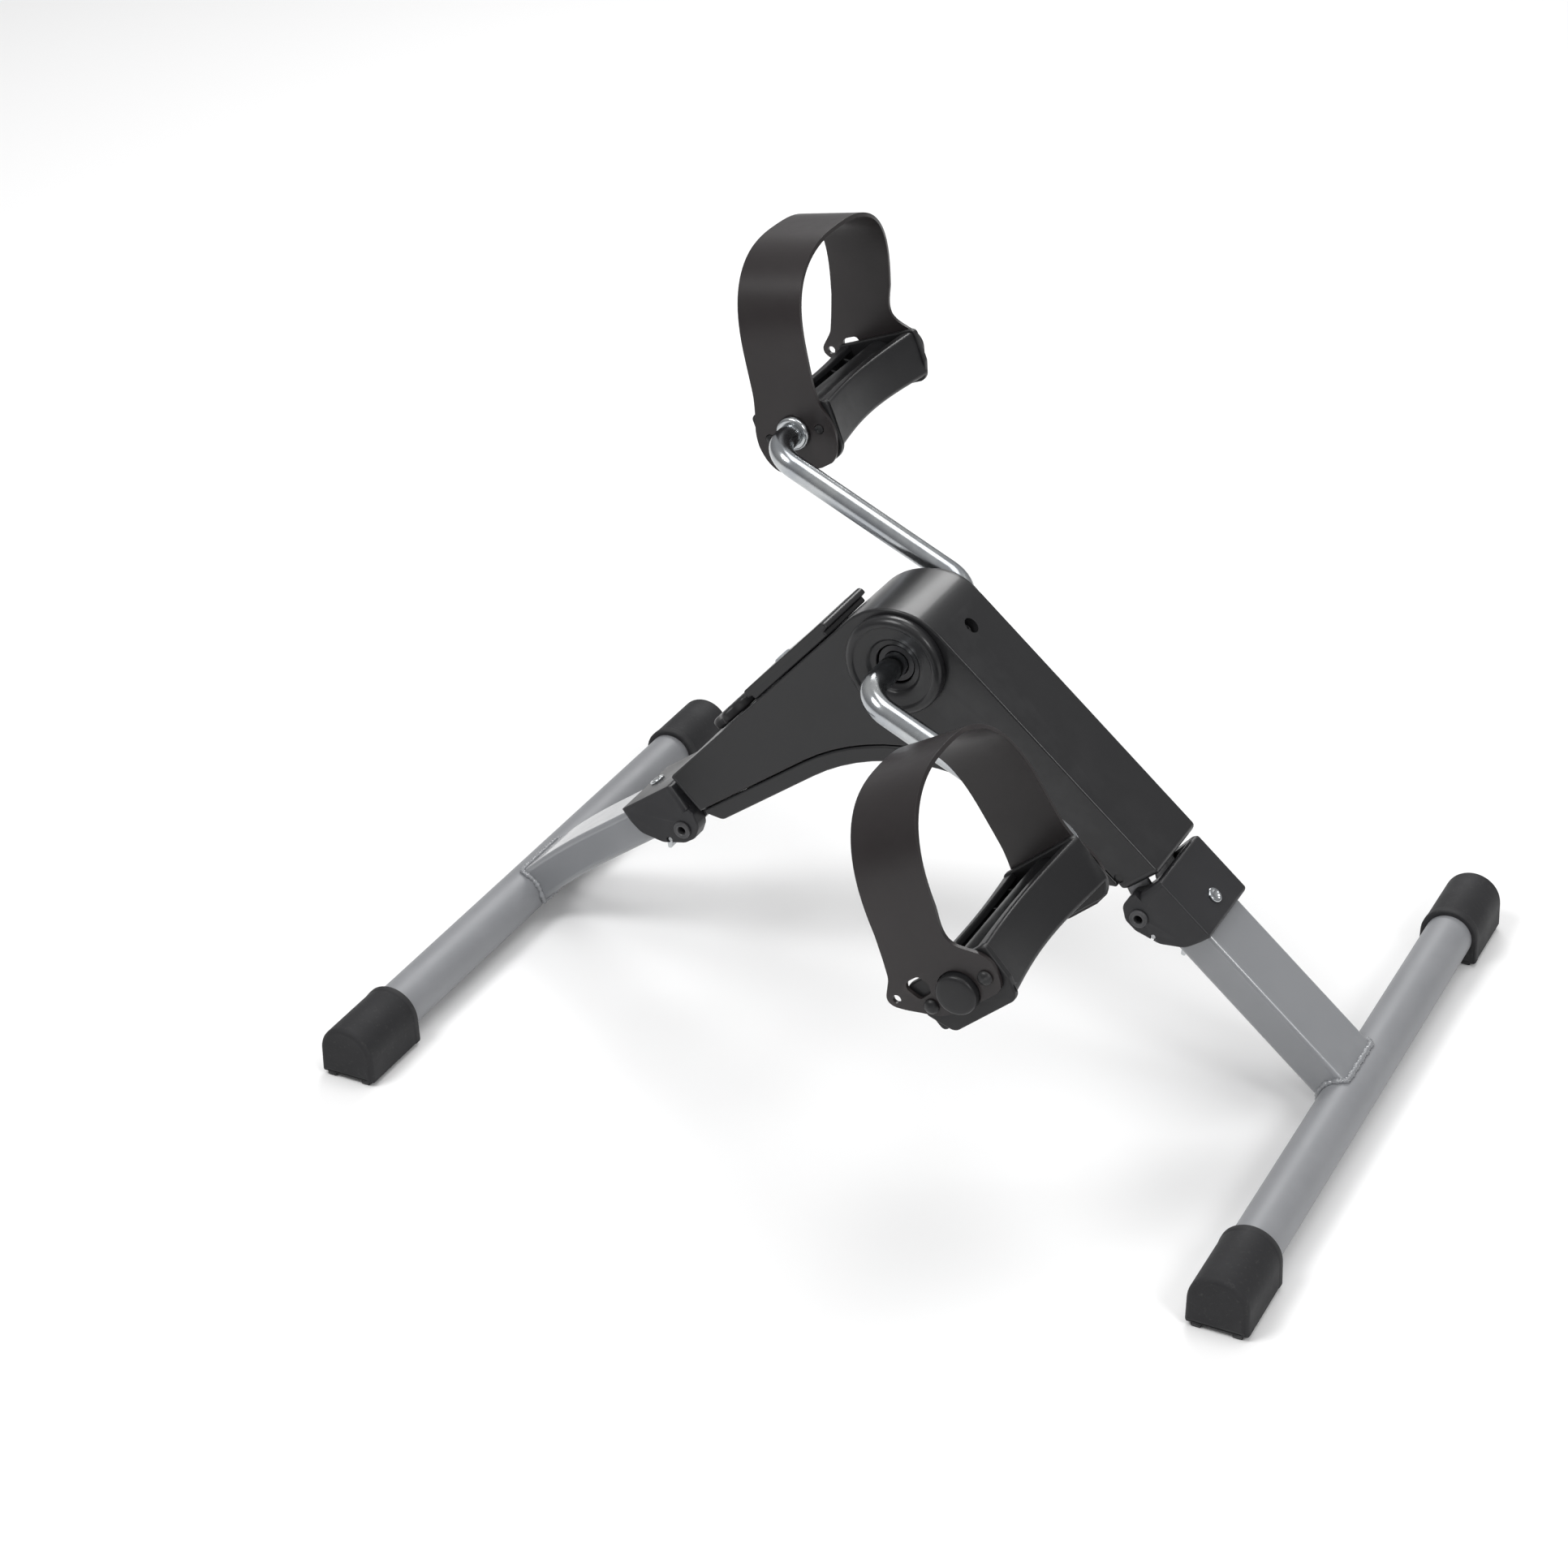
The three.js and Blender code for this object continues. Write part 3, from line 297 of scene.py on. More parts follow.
# ------------------------------------------------------------------ materials
def material(name, base, rough, metal=0.0, vary=0.12, vary_scale=9.0, rough_var=0.06, rough_scale=30.0, grain=0.0, grain_scale=2500.0,
             grain_depth=0.00004, wear=0.0, wear_col=(0.2, 0.2, 0.2), stretch=(1, 1, 1), spots=0.0, spot_col=(0.1, 0.1, 0.1), spot_scale=140.0,
             second=0.0, second_scale=200.0, second_depth=0.0001, sheen=0.0, coat=0.0, coat_rough=0.2, ior=1.5, spec=0.5, tint=None, aniso=0.0, alpha=None, trans=0.0):
    m = bpy.data.materials.new(name); m.use_nodes = True
    nt = m.node_tree; N, L = nt.nodes, nt.links
    b = N["Principled BSDF"]
    b.inputs["Metallic"].default_value = metal
    b.inputs["IOR"].default_value = ior
    b.inputs["Specular IOR Level"].default_value = spec
    if sheen: b.inputs["Sheen Weight"].default_value = sheen
    if coat: b.inputs["Coat Weight"].default_value = coat; b.inputs["Coat Roughness"].default_value = coat_rough
    if aniso: b.inputs["Anisotropic"].default_value = aniso
    if trans: b.inputs["Transmission Weight"].default_value = trans
    tc = N.new("ShaderNodeTexCoord"); mp = N.new("ShaderNodeMapping"); mp.inputs["Scale"].default_value = stretch
    L.new(tc.outputs["Object"], mp.inputs["Vector"])
    P = mp.outputs["Vector"]

    def noise(scale, detail=3.0, r=0.55, src=None):
        n = N.new("ShaderNodeTexNoise"); n.inputs["Scale"].default_value = scale; n.inputs["Detail"].default_value = detail; n.inputs["Roughness"].default_value = r
        L.new(src or P, n.inputs["Vector"]); return n.outputs["Fac"]

    def mrange(src, lo, hi, a=0.3, c=0.7):
        r = N.new("ShaderNodeMapRange"); r.inputs["From Min"].default_value = a; r.inputs["From Max"].default_value = c
        r.inputs["To Min"].default_value = lo; r.inputs["To Max"].default_value = hi; L.new(src, r.inputs["Value"]); return r.outputs["Result"]

    def mix(fac, a, c):
        x = N.new("ShaderNodeMix"); x.data_type = "RGBA"
        for val, sock in ((a, 6), (c, 7)):
            if isinstance(val, tuple): x.inputs[sock].default_value = (*val, 1)
            else: L.new(val, x.inputs[sock])
        if isinstance(fac, float): x.inputs[0].default_value = fac
        else: L.new(fac, x.inputs[0])
        return x.outputs[2]

    dark = tuple(c * (1 - vary) for c in base); light = tuple(min(1, c * (1 + vary)) for c in (tint or base))
    col = mix(mrange(noise(vary_scale, 4), 0.0, 1.0, 0.35, 0.65), dark, light)
    if spots:
        col = mix(mrange(noise(spot_scale, 5, 0.6, tc.outputs["Object"]), 0.0, spots, 0.58, 0.74), col, spot_col)
    if wear:
        g = N.new("ShaderNodeNewGeometry")
        e = mrange(g.outputs["Pointiness"], 0.0, 1.0, 0.52, 0.60)
        w = N.new("ShaderNodeMath"); w.operation = "MULTIPLY"; L.new(e, w.inputs[0]); L.new(mrange(noise(60, 4), 0.0, wear, 0.4, 0.62), w.inputs[1])
        col = mix(w.outputs[0], col, wear_col)
    L.new(col, b.inputs["Base Color"])
    L.new(mrange(noise(rough_scale, 4, 0.6), max(0.02, rough - rough_var), min(1, rough + rough_var)), b.inputs["Roughness"])
    normal = None
    for amt, sc, dp in ((second, second_scale, second_depth), (grain, grain_scale, grain_depth)):
        if not amt: continue
        bp = N.new("ShaderNodeBump"); bp.inputs["Strength"].default_value = amt; bp.inputs["Distance"].default_value = dp
        L.new(noise(sc, 2.0, 0.5), bp.inputs["Height"])
        if normal: L.new(normal, bp.inputs["Normal"])
        normal = bp.outputs["Normal"]
    if normal: L.new(normal, b.inputs["Normal"])
    if alpha is not None: b.inputs["Alpha"].default_value = alpha
    MATS[name] = m
    return m


material("shell_black", (0.0125, 0.0125, 0.0135), 0.33, ior=1.46, spec=0.34, vary=0.05, rough_var=0.02, rough_scale=22, grain=0.25, grain_scale=2600, grain_depth=0.00002, second=0.03, second_scale=38, second_depth=0.0003, coat=0.14, coat_rough=0.13,
         wear=0.15, wear_col=(0.05, 0.05, 0.052), spots=0.05, spot_col=(0.03, 0.03, 0.031), spot_scale=300)
material("bracket_black", (0.022, 0.022, 0.024), 0.36, ior=1.46, spec=0.34, vary=0.12, rough_var=0.06, grain=0.5, grain_scale=2200, grain_depth=0.00004, wear=0.4, wear_col=(0.06, 0.06, 0.063), spots=0.12, spot_col=(0.03, 0.03, 0.031), spot_scale=260)
material("pedal_black", (0.0125, 0.0125, 0.0135), 0.38, ior=1.46, spec=0.34, vary=0.12, rough_var=0.07, grain=0.55, grain_scale=1900, grain_depth=0.00005, wear=0.5, wear_col=(0.06, 0.06, 0.06), spots=0.15, spot_col=(0.032, 0.031, 0.03), spot_scale=220)
material("strap_vinyl", (0.0185, 0.0155, 0.0160), 0.36, ior=1.44, spec=0.34, vary=0.14, rough_var=0.06, rough_scale=45, grain=0.4, grain_scale=1500, grain_depth=0.00004, second=0.25, second_scale=55, second_depth=0.0005,
         wear=0.3, wear_col=(0.055, 0.048, 0.046), spots=0.10, spot_col=(0.03, 0.026, 0.024), coat=0.12, coat_rough=0.25)
material("foot_rubber", (0.014, 0.014, 0.0155), 0.68, ior=1.45, spec=0.4, vary=0.12, vary_scale=25, rough_var=0.08, grain=0.7, grain_scale=1300, grain_depth=0.00007, second=0.2, second_scale=120, second_depth=0.0003,
         wear=0.5, wear_col=(0.10, 0.10, 0.10), spots=0.35, spot_col=(0.055, 0.054, 0.051), spot_scale=420)
material("silver_paint", (0.222, 0.229, 0.241), 0.40, metal=0.15, vary=0.05, rough_var=0.05, rough_scale=60, grain=0.25, grain_scale=3000, grain_depth=0.00002, second=0.25, second_scale=420, second_depth=0.00008,
         wear=0.10, wear_col=(0.5, 0.5, 0.51), spots=0.08, spot_col=(0.25, 0.255, 0.26), spot_scale=900, coat=0.8, coat_rough=0.09)
material("silver_bar", (0.222, 0.227, 0.239), 0.52, metal=0.08, vary=0.05, rough_var=0.05, rough_scale=60, grain=0.25, grain_scale=3000, grain_depth=0.00002, second=0.2, second_scale=420, second_depth=0.00006,
         wear=0.08, wear_col=(0.45, 0.45, 0.46), spots=0.08, spot_col=(0.25, 0.255, 0.26), spot_scale=900, coat=0.06, coat_rough=0.3)
material("zinc_plate", (0.41, 0.43, 0.455), 0.19, metal=1.0, vary=0.06, vary_scale=60, rough_var=0.04, rough_scale=160, grain=0.12, grain_scale=1400, grain_depth=0.00001, spots=0.12, spot_col=(0.30, 0.31, 0.325), spot_scale=260,
         tint=(0.47, 0.485, 0.49), second=0.08, second_scale=200, second_depth=0.00003)
material("plain_steel", (0.42, 0.43, 0.44), 0.34, metal=1.0, vary=0.10, vary_scale=40, rough_var=0.10, rough_scale=120, grain=0.3, grain_scale=900, grain_depth=0.00003, stretch=(1, 6, 1), spots=0.3, spot_col=(0.28, 0.27, 0.26), spot_scale=200)
material("black_steel", (0.016, 0.016, 0.017), 0.34, metal=0.3, vary=0.15, rough_var=0.08, grain=0.3, grain_scale=1200, grain_depth=0.00003, wear=0.7, wear_col=(0.25, 0.25, 0.26))
material("nylon_white", (0.68, 0.67, 0.61), 0.45, vary=0.05, grain=0.3, grain_scale=900, second=0.1, spots=0.15, spot_col=(0.5, 0.48, 0.42))
material("felt_brown", (0.12, 0.08, 0.05), 0.9, vary=0.3, vary_scale=120, grain=0.9, grain_scale=900, grain_depth=0.0004, sheen=0.3)
material("clear_window", (0.86, 0.88, 0.86), 0.08, vary=0.03, rough_var=0.03, spots=0.1, spot_col=(0.8, 0.8, 0.8), grain=0.05, grain_scale=600, trans=0.92, ior=1.49)
material("lcd_grey", (0.30, 0.34, 0.27), 0.25, vary=0.04, rough_var=0.03, grain=0.1, grain_scale=4000, grain_depth=0.00001)
material("lcd_dark", (0.03, 0.035, 0.03), 0.35, vary=0.1, rough_var=0.03, grain=0.1, grain_scale=4000, grain_depth=0.00001)
material("board_green", (0.02, 0.12, 0.045), 0.35, vary=0.2, vary_scale=300, rough_var=0.08, grain=0.3, grain_scale=1500)
material("button_grey", (0.28, 0.30, 0.32), 0.45, vary=0.08, rough_var=0.06, grain=0.5, grain_scale=2000, grain_depth=0.00004, wear=0.4, wear_col=(0.4, 0.41, 0.42))

DEFAULT = {"housing_plastic": "shell_black", "bracket_plastic": "bracket_black", "pedal_plastic": "pedal_black", "strap": "strap_vinyl", "foot_rubber": "foot_rubber", "silver_paint": "silver_paint",
           "zinc_plate": "zinc_plate", "plain_steel": "plain_steel", "black_steel": "black_steel", "nylon": "nylon_white", "friction_felt": "felt_brown", "window": "clear_window", "screen": "lcd_grey",
           "board": "board_green", "button": "button_grey"}
for sp in frame["record"]["subparts"]:
    o = frame["nodes"][sp["node"]]
    o.data.materials.clear(); o.data.materials.append(MATS[DEFAULT[sp["material_slot"]]])

XZ = lambda y: (lambda p: (p[0], y, p[1]))
YAX = (0, 1, 0)


def cyl(p, axis, r, l, seg=40, back=0.0): return M().lathe([(0, -back), (r, -back), (r, l), (0, l)], p, axis, seg)


def ydisc(x, z, r, y0, y1, seg=48): return M().prism(circle(x, z, r, seg), y0, y1, 0)


def nrm(P, s=0):  # outward normal of a slope frame in 3-D
    a, b = P(s, 0), P(s, 1)
    return (b[0] - a[0], 0, b[1] - a[1])


# ------------------------------------------------------------------ crossbars, caps, legs
def tube_ring(x, z, r, ri, y0, y1, seg=72):
    return M().lathe([(ri, y0), (ri + 0.2, y0 - 0.0), (r - 0.3, y0), (r, y0 + 0.3), (r, y1 - 0.3), (r - 0.3, y1), (ri, y1)], (x, 0, z), YAX, seg)


CAPO = rounded([(-16.1, 1.3, 2.0), (16.1, 1.3, 2.0), (15.75, 15.5, 0)] + [(15.7 * math.cos(math.radians(a)), 15.5 + 15.7 * math.sin(math.radians(a)), 0) for a in range(6, 180, 6)] + [(-15.75, 15.5, 0)], 12)


def foot_cap(end, side, x):
    s = 1 if side == "left" else -1
    m = M()
    inn, out = CAP_END - CAP_LEN, CAP_END
    pts = [(px, pz) for px, pz in CAPO]
    rings = [(inn, 1.6), (inn, 0.9), (inn + 0.3, 0.35), (inn + 0.9, 0.0), (inn + 3.6, 0.0), (inn + 4.4, 0.25), (inn + 5.2, 0.3), (out - 6, 0.3), (out - 2.6, 0.3)]
    for j in range(1, 7):
        a = math.radians(90) * j / 6
        rings.append((out - 2.6 + 2.6 * math.sin(a), 0.3 + 2.6 * (1 - math.cos(a))))
    rings.append((out - 0.05, 3.9))
    sk = []
    for y, d in rings:
        q = inset(pts, d)
        grow = 0.25 * max(0, (y - (out - 14)) / 14)   # slight splay of the sole at the outer end
        sk.append([(x + px * (1 + (0.02 * grow if pz < 5 else 0)), s * y, max(1.3 if d < 1 else 1.3, pz)) for px, pz in q])
    m.loft(sk)
    o = m.obj(f"{end}_foot_cap_{side}_look")
    # recessed panel in the end face, bore and mouth
    ribs = [M().prism(rounded([(x + c - 2.6, 0.0, 0.7), (x + c + 2.6, 0.0, 0.7), (x + c + 2.6, 2.6, 0), (x + c - 2.6, 2.6, 0)], 22), min(s * (inn + 0.6), s * (out - 1.0)), max(s * (inn + 0.6), s * (out - 1.0)), 0.5) for c in (-10.2, 10.2)]
    bore = ydisc(x, BAR_Z, BAR_R + 0.15, min(s * (inn - 2), s * 191.5), max(s * (inn - 2), s * 191.5), 72)
    csg(o, [bore], ribs)
    return done(o, f"{end}_leg", "foot_rubber", [f"{end}_foot_cap_{side}"], sharp=42)


def rrect(w, h, r, step=15.0):
    return rounded([(-w / 2, -h / 2, r), (w / 2, -h / 2, r), (w / 2, h / 2, r), (-w / 2, h / 2, r)], step)


def rear_line():
    pts = [GP(s, 0) for s in range(int(TUBE_TOP), 72, -11)]
    start = GP(72, 0); pts.append(start)
    end = (-BAR_X + 1.5, BAR_Z)
    x, z = start
    a1 = 2 * math.atan2(z - end[1], x - end[0]) - GREAR
    chord = math.hypot(x - end[0], z - end[1]); sweep = a1 - GREAR
    R = chord / (2 * math.sin(sweep / 2))
    cx, cz = x + R * math.sin(GREAR), z - R * math.cos(GREAR)
    return pts + [(cx - R * math.sin(GREAR + sweep * i / 16), cz + R * math.cos(GREAR + sweep * i / 16)) for i in range(1, 17)]


def leg(end, line, bx):
    sec, seci = rrect(40, 20, 3.2, 11), rrect(37, 17, 1.8, 30)
    o = M().sweep([(p[0], 0, p[1]) for p in line], sec).obj(f"{end}_leg_tube_look")
    a, b = Vector((line[0][0], 0, line[0][1])), Vector((line[1][0], 0, line[1][1]))
    ext = a + (a - b).normalized() * 5
    c, d = Vector((line[-1][0], 0, line[-1][1])), Vector((line[-2][0], 0, line[-2][1]))
    ext2 = c + (c - d).normalized() * 5
    inner = M().sweep([ext] + [Vector((p[0], 0, p[1])) for p in line] + [ext2], seci)
    csg(o, [inner, ydisc(bx, BAR_Z, BAR_R + 0.02, -60, 60, 72)])
    if end == "rear":
        keep = M().prism([(-300, -40), (-BAR_X + 2, -40), (-BAR_X + 2, BAR_Z - 4), (-300, BAR_Z + 2)], -60, 60, 0)
        csg(o, [keep])
    done(o, f"{end}_leg", "silver_paint", [f"{end}_leg_tube"], sharp=30)
    # weld: a rippled bead along the saddle where the rectangular tube meets the round one
    t = (d - c).normalized(); n = Vector((-t.z, 0, t.x))
    per = rrect(40.6, 20.6, 3.4, 6)
    dense = []
    for i in range(len(per)):
        p, q = per[i], per[(i + 1) % len(per)]
        L = math.hypot(q[0] - p[0], q[1] - p[1]); k = max(1, int(L / 0.7))
        dense += [(p[0] + (q[0] - p[0]) * j / k, p[1] + (q[1] - p[1]) * j / k) for j in range(k)]
    centre = Vector((bx, 0, BAR_Z)); path = []
    for yy, nn in dense:
        rel = c - centre
        # where |rel + t*s + n*nn| = BAR_R, in the X-Z plane
        q = rel + n * nn
        bq = q.dot(t); cq = q.length_squared - (BAR_R + 0.4) ** 2
        disc = bq * bq - cq
        s = -bq + math.sqrt(max(0.0, disc))
        path.append(c + n * nn + t * (s + 0.3) + Vector((0, yy, 0)))
    k = len(path)
    sec = [(1.0 * math.cos(2 * math.pi * i / 12), 1.0 * math.sin(2 * math.pi * i / 12)) for i in range(12)]
    bead = M().sweep(path, sec, closed=True, up=(0, 0.2, 1), size=lambda i: 1.5 + 0.30 * math.sin(i * 1.9) + 0.24 * math.sin(i * 0.61 + 1.3))
    done(bead.obj(f"{end}_weld_bead_look"), f"{end}_leg", "silver_paint", [f"{end}_weld_bead"], sharp=75)


for end, x in (("front", BAR_X), ("rear", -BAR_X)):
    done(tube_ring(x, BAR_Z, BAR_R, BAR_R - 1.5, -BAR_HALF, BAR_HALF).obj(f"{end}_crossbar_look"), f"{end}_leg", "silver_bar", [f"{end}_crossbar"])
    for side in ("right", "left"):
        foot_cap(end, side, x)
leg("front", [FP(s, 0) for s in (TUBE_TOP, 95, 60, 30, -2)], BAR_X)
leg("rear", rear_line(), -BAR_X)


# ------------------------------------------------------------------ brackets, pins, latches
def plan_fillet(P, s0, y0, ds, dy, R, n0, n1, slope=0.0):
    """Cutter that rounds the corner at (s0, y0) seen square to the slope; ds and dy point inwards."""
    pts = [(s0 - ds * 1.0, y0 - dy * 1.0), (s0 + ds * R, y0 - dy * 1.0)]
    pts += [(s0 + ds * R - ds * R * math.sin(a), y0 + dy * R - dy * R * math.cos(a)) for a in (math.radians(90) * i / 7 for i in range(8))]
    pts += [(s0 - ds * 1.0, y0 + dy * R)]
    return M().prism(pts, n0, n1, 0, place=lambda p, h: (P(p[0] - slope * (h + 3.5), h)[0], p[1], P(p[0] - slope * (h + 3.5), h)[1]))


CHEEK = [(107, 13.9, 2.0), (145.5, 13.9, 3.0), (145.8, 0, 0), (148.2, -5.2, 4), (146.6, -13.4, 6), (140, -18, 5), (132.6, -17.8, 6), (120, -12.4, 8), (110.8, -2.5, 10)]
for end, P in (("front", FP), ("rear", GP)):
    body = f"{end}_leg"
    o = M().prism(rounded([(*P(a, b), r) for a, b, r in CHEEK], 8), -HALF_W, HALF_W, 0.9, 4).obj(f"{end}_bracket_look")
    sock, sw = 10.3, 20.3
    quad = lambda a, b, lo, hi: [P(a, lo), P(b, lo), P(b, hi), P(a, hi)]
    cuts = [M().sweep([(P(s, 0)[0], 0, P(s, 0)[1]) for s in (90, TUBE_TOP + 3)], rrect(40.5, 20.5, 3.3, 15)),
            M().prism(quad(124.5, 160, -30, 11.4), -16.6, 16.6, 0), M().prism(quad(90, 128, -30, -sock + 1), -sw, sw, 0),
            ydisc(*P(PIN_S, PIN_N), 4.1, -60, 60), ydisc(*P(LATCH_S, LATCH_N), 1.9, -60, 60, 20)]
    for sy in (-1, 1):
        cuts.append(plan_fillet(P, 107, sy * HALF_W, 1, -sy, 4.0, -12, 30))
        cuts.append(plan_fillet(P, 145.8, sy * HALF_W, -1, -sy, 4.0, -2.5, 30))
    csg(o, cuts)
    done(o, body, "bracket_black", [f"{end}_bracket"], bevel=0.45, limit=42, sharp=40)
    # rivet: rolled rim with a shallow dimple
    a = P(RIVET_S, 6)
    prof = [(0, 0), (2.9, 0), (2.9, 8.0), (4.25, 8.0)] + [(4.25 - 0.9 * (1 - math.cos(t)), 8.5 + 0.95 * math.sin(t)) for t in (math.radians(90) * i / 5 for i in range(6))] + [(2.6, 9.5), (1.9, 9.0), (1.2, 8.7), (0, 8.65)]
    done(M().lathe(prof, (a[0], 0, a[1]), nrm(P), 40).obj(f"{end}_rivet_look"), body, "zinc_plate", [f"{end}_rivet"])
    # hollow fold pin with rolled heads
    h = [(2.3, -26.9), (2.6, -27.2), (4.0, -27.2), (4.6, -27.0), (4.9, -26.5), (4.9, -25.85), (3.8, -25.85)]
    prof = h + [(r, -y) for r, y in reversed(h)]
    done(M().lathe(prof, (P(PIN_S, PIN_N)[0], 0, P(PIN_S, PIN_N)[1]), YAX, 40).obj(f"{end}_fold_pin_look"), "housing", "black_steel", [f"{end}_fold_pin"])
    side = rounded([(*P(127.2, -10.5), 0), (*P(127.6, -14.2), 2), (*P(122, -15.6), 2), (*P(110.5, -15.4), 3), (*P(106.2, -21.2), 0.8), (*P(104.2, -20.2), 0.8), (*P(108.6, -12.2), 3), (*P(122.5, -11.4), 0.2), (*P(123.6, -10.5), 0)], 12)
    o = M().prism(side, -9, 9, 0.45).obj(f"{end}_latch_lever_look")
    waist = [M().prism(rounded([(*P(101, -24), 0), (*P(114, -24), 0), (*P(114, -8), 0), (*P(101, -8), 0)]), sy * 6.2 if sy > 0 else -12, 12 if sy > 0 else -6.2, 0) for sy in (-1, 1)]
    csg(o, [ydisc(*P(LATCH_S, LATCH_N), 1.9, -20, 20, 20)] + waist)
    done(o, f"{end}_latch", "zinc_plate", [f"{end}_latch_lever"], sharp=35)
    c = P(LATCH_S, LATCH_N)
    done(M().lathe([(0, -24.5), (1.2, -24.5), (1.5, -24.2), (1.5, 24.2), (1.2, 24.5), (0, 24.5)], (c[0], 0, c[1]), YAX, 24).obj(f"{end}_latch_pin_look"), body, "plain_steel", [f"{end}_latch_pin"])
    wire = [(0.42 * math.cos(2 * math.pi * i / 8), 0.42 * math.sin(2 * math.pi * i / 8)) for i in range(8)]
    coil = [(c[0] + 2.15 * math.cos(2 * math.pi * i / 14), 10.1 + i * 5.0 / 70, c[1] + 2.15 * math.sin(2 * math.pi * i / 14)) for i in range(71)]
    done(M().sweep(coil, wire, up=(1, 0, 0)).obj(f"{end}_latch_spring_look"), body, "plain_steel", [f"{end}_latch_spring"], sharp=80)

# ------------------------------------------------------------------ housing covers
V = lambda p, r=0: (p[0], p[1], r)
topc = meet(FP(0, TOP_N), FP(1, TOP_N), RP(0, REAR_N), RP(1, REAR_N))
LEAN = 3.2
lean = lambda n: END_S - LEAN * (n + 3.5) / 20.7
rearc = meet(RP(0, REAR_N), RP(1, REAR_N), GP(lean(-3.5), -3.5), GP(lean(17.2), 17.2))
lowc = lambda n: meet(FP(0, n), FP(1, n), GP(0, n), GP(1, n))
FACE_LOW, CHAMFER, WALL = -3.5, 12.0, 2.5
seam = lambda n: END_S + (FACE_LOW - n)
out = rounded([V(FP(lean(TOP_N), TOP_N), 3.0), V(topc, 37), V(rearc, 4), V(GP(END_S, FACE_LOW), 1.5), V(GP(seam(SEAM_N), SEAM_N), 1.5), V(lowc(SEAM_N), 120), V(FP(seam(SEAM_N), SEAM_N), 1.5), V(FP(END_S, FACE_LOW), 1.5)], 5)
o = M().prism(out, -HALF_W, HALF_W, 1.3, 4).obj("upper_cover_look")
tc = meet(FP(0, TOP_N - WALL), FP(1, TOP_N - WALL), RP(0, REAR_N - WALL), RP(1, REAR_N - WALL))
s_ = END_S + WALL
rt = meet(RP(0, REAR_N - WALL), RP(1, REAR_N - WALL), GP(s_, 0), GP(s_, 1))
cuts = [M().prism(rounded([V(FP(s_, TOP_N - WALL), 2), V(tc, 34.5), V(rt, 2), V(GP(s_, -40)), V(lowc(-40)), V(FP(s_, -40))], 6), -23, 23, 0.8, 2)]
for P in (FP, GP):
    cuts.append(M().prism([P(140, -30), P(s_ + 1, -30), P(s_ + 1, 9), P(140, 9)], -16.6, 16.6, 0))
    for sy in (-1, 1):
        cuts.append(plan_fillet(P, END_S, sy * HALF_W, 1, -sy, 4.5, -30, 34 if P is GP else 30, LEAN / 20.7))
cuts.append(ydisc(CX, CZ, 13, -40, 40, 56))
hp = FP(299.3, 5); cuts.append(cyl((hp[0], 0, hp[1]), nrm(FP), 4.3, 20, 40))
kp = RP(KNOB_T, 10); cuts.append(cyl((kp[0], 0, kp[1]), nrm(RP), 4.2, 40, 36))
sp = RP(54, 10); cuts.append(cyl((sp[0], 0, sp[1]), nrm(RP), 3.0, 40, 28))
# the small round recess in each side at the lower front end of the parting line
for sy in (-1, 1):
    cuts.append(M().lathe([(0, 0), (2.6, 0), (2.6, 3), (0, 3)], (FP(158.5, -3.0)[0], sy * (HALF_W - 0.9), FP(158.5, -3.0)[1]), (0, sy, 0), 28))
# screw boss round the hole, an integral sleeve under the top face
boss = M().lathe([(4.3, 3.6), (5.8, 3.6), (5.8, 10.2), (4.3, 10.2)], (hp[0], 0, hp[1]), nrm(FP), 40)
csg(o, cuts, late=[boss])
done(o, "housing", "shell_black", ["upper_cover"], bevel=0.35, limit=48, sharp=32)

n0 = SEAM_N - 0.3
out = rounded([V(FP(seam(n0), n0), 1.5), V(lowc(n0), 120), V(GP(seam(n0), n0), 1.5), V(GP(END_S + CHAMFER, LOW_N), 5), V(lowc(LOW_N), 110), V(FP(END_S + CHAMFER, LOW_N), 5)], 5)
o = M().prism(out, -HALF_W, HALF_W, 1.3, 4).obj("lower_cover_look")
nf = LOW_N + WALL
cuts = [M().prism(rounded([V(FP(160, 20)), V(lowc(20)), V(GP(160, 20)), V(GP(160, nf + 4)), V(GP(END_S + CHAMFER + 6, nf)), V(lowc(nf), 112.5), V(FP(END_S + CHAMFER + 6, nf)), V(FP(160, nf + 4))], 6), -23, 23, 0)]
for P in (FP, GP):
    cuts.append(M().prism([P(140, -40), P(166, -40), P(166, 9), P(140, 9)], -16.6, 16.6, 0))
for P, s in ((FP, 178), (GP, 200)):
    a = P(s, -60); cuts.append(cyl((a[0], 0, a[1]), nrm(P), 2.4, 80, 24))
csg(o, cuts)
done(o, "housing", "shell_black", ["lower_cover"], sharp=32)

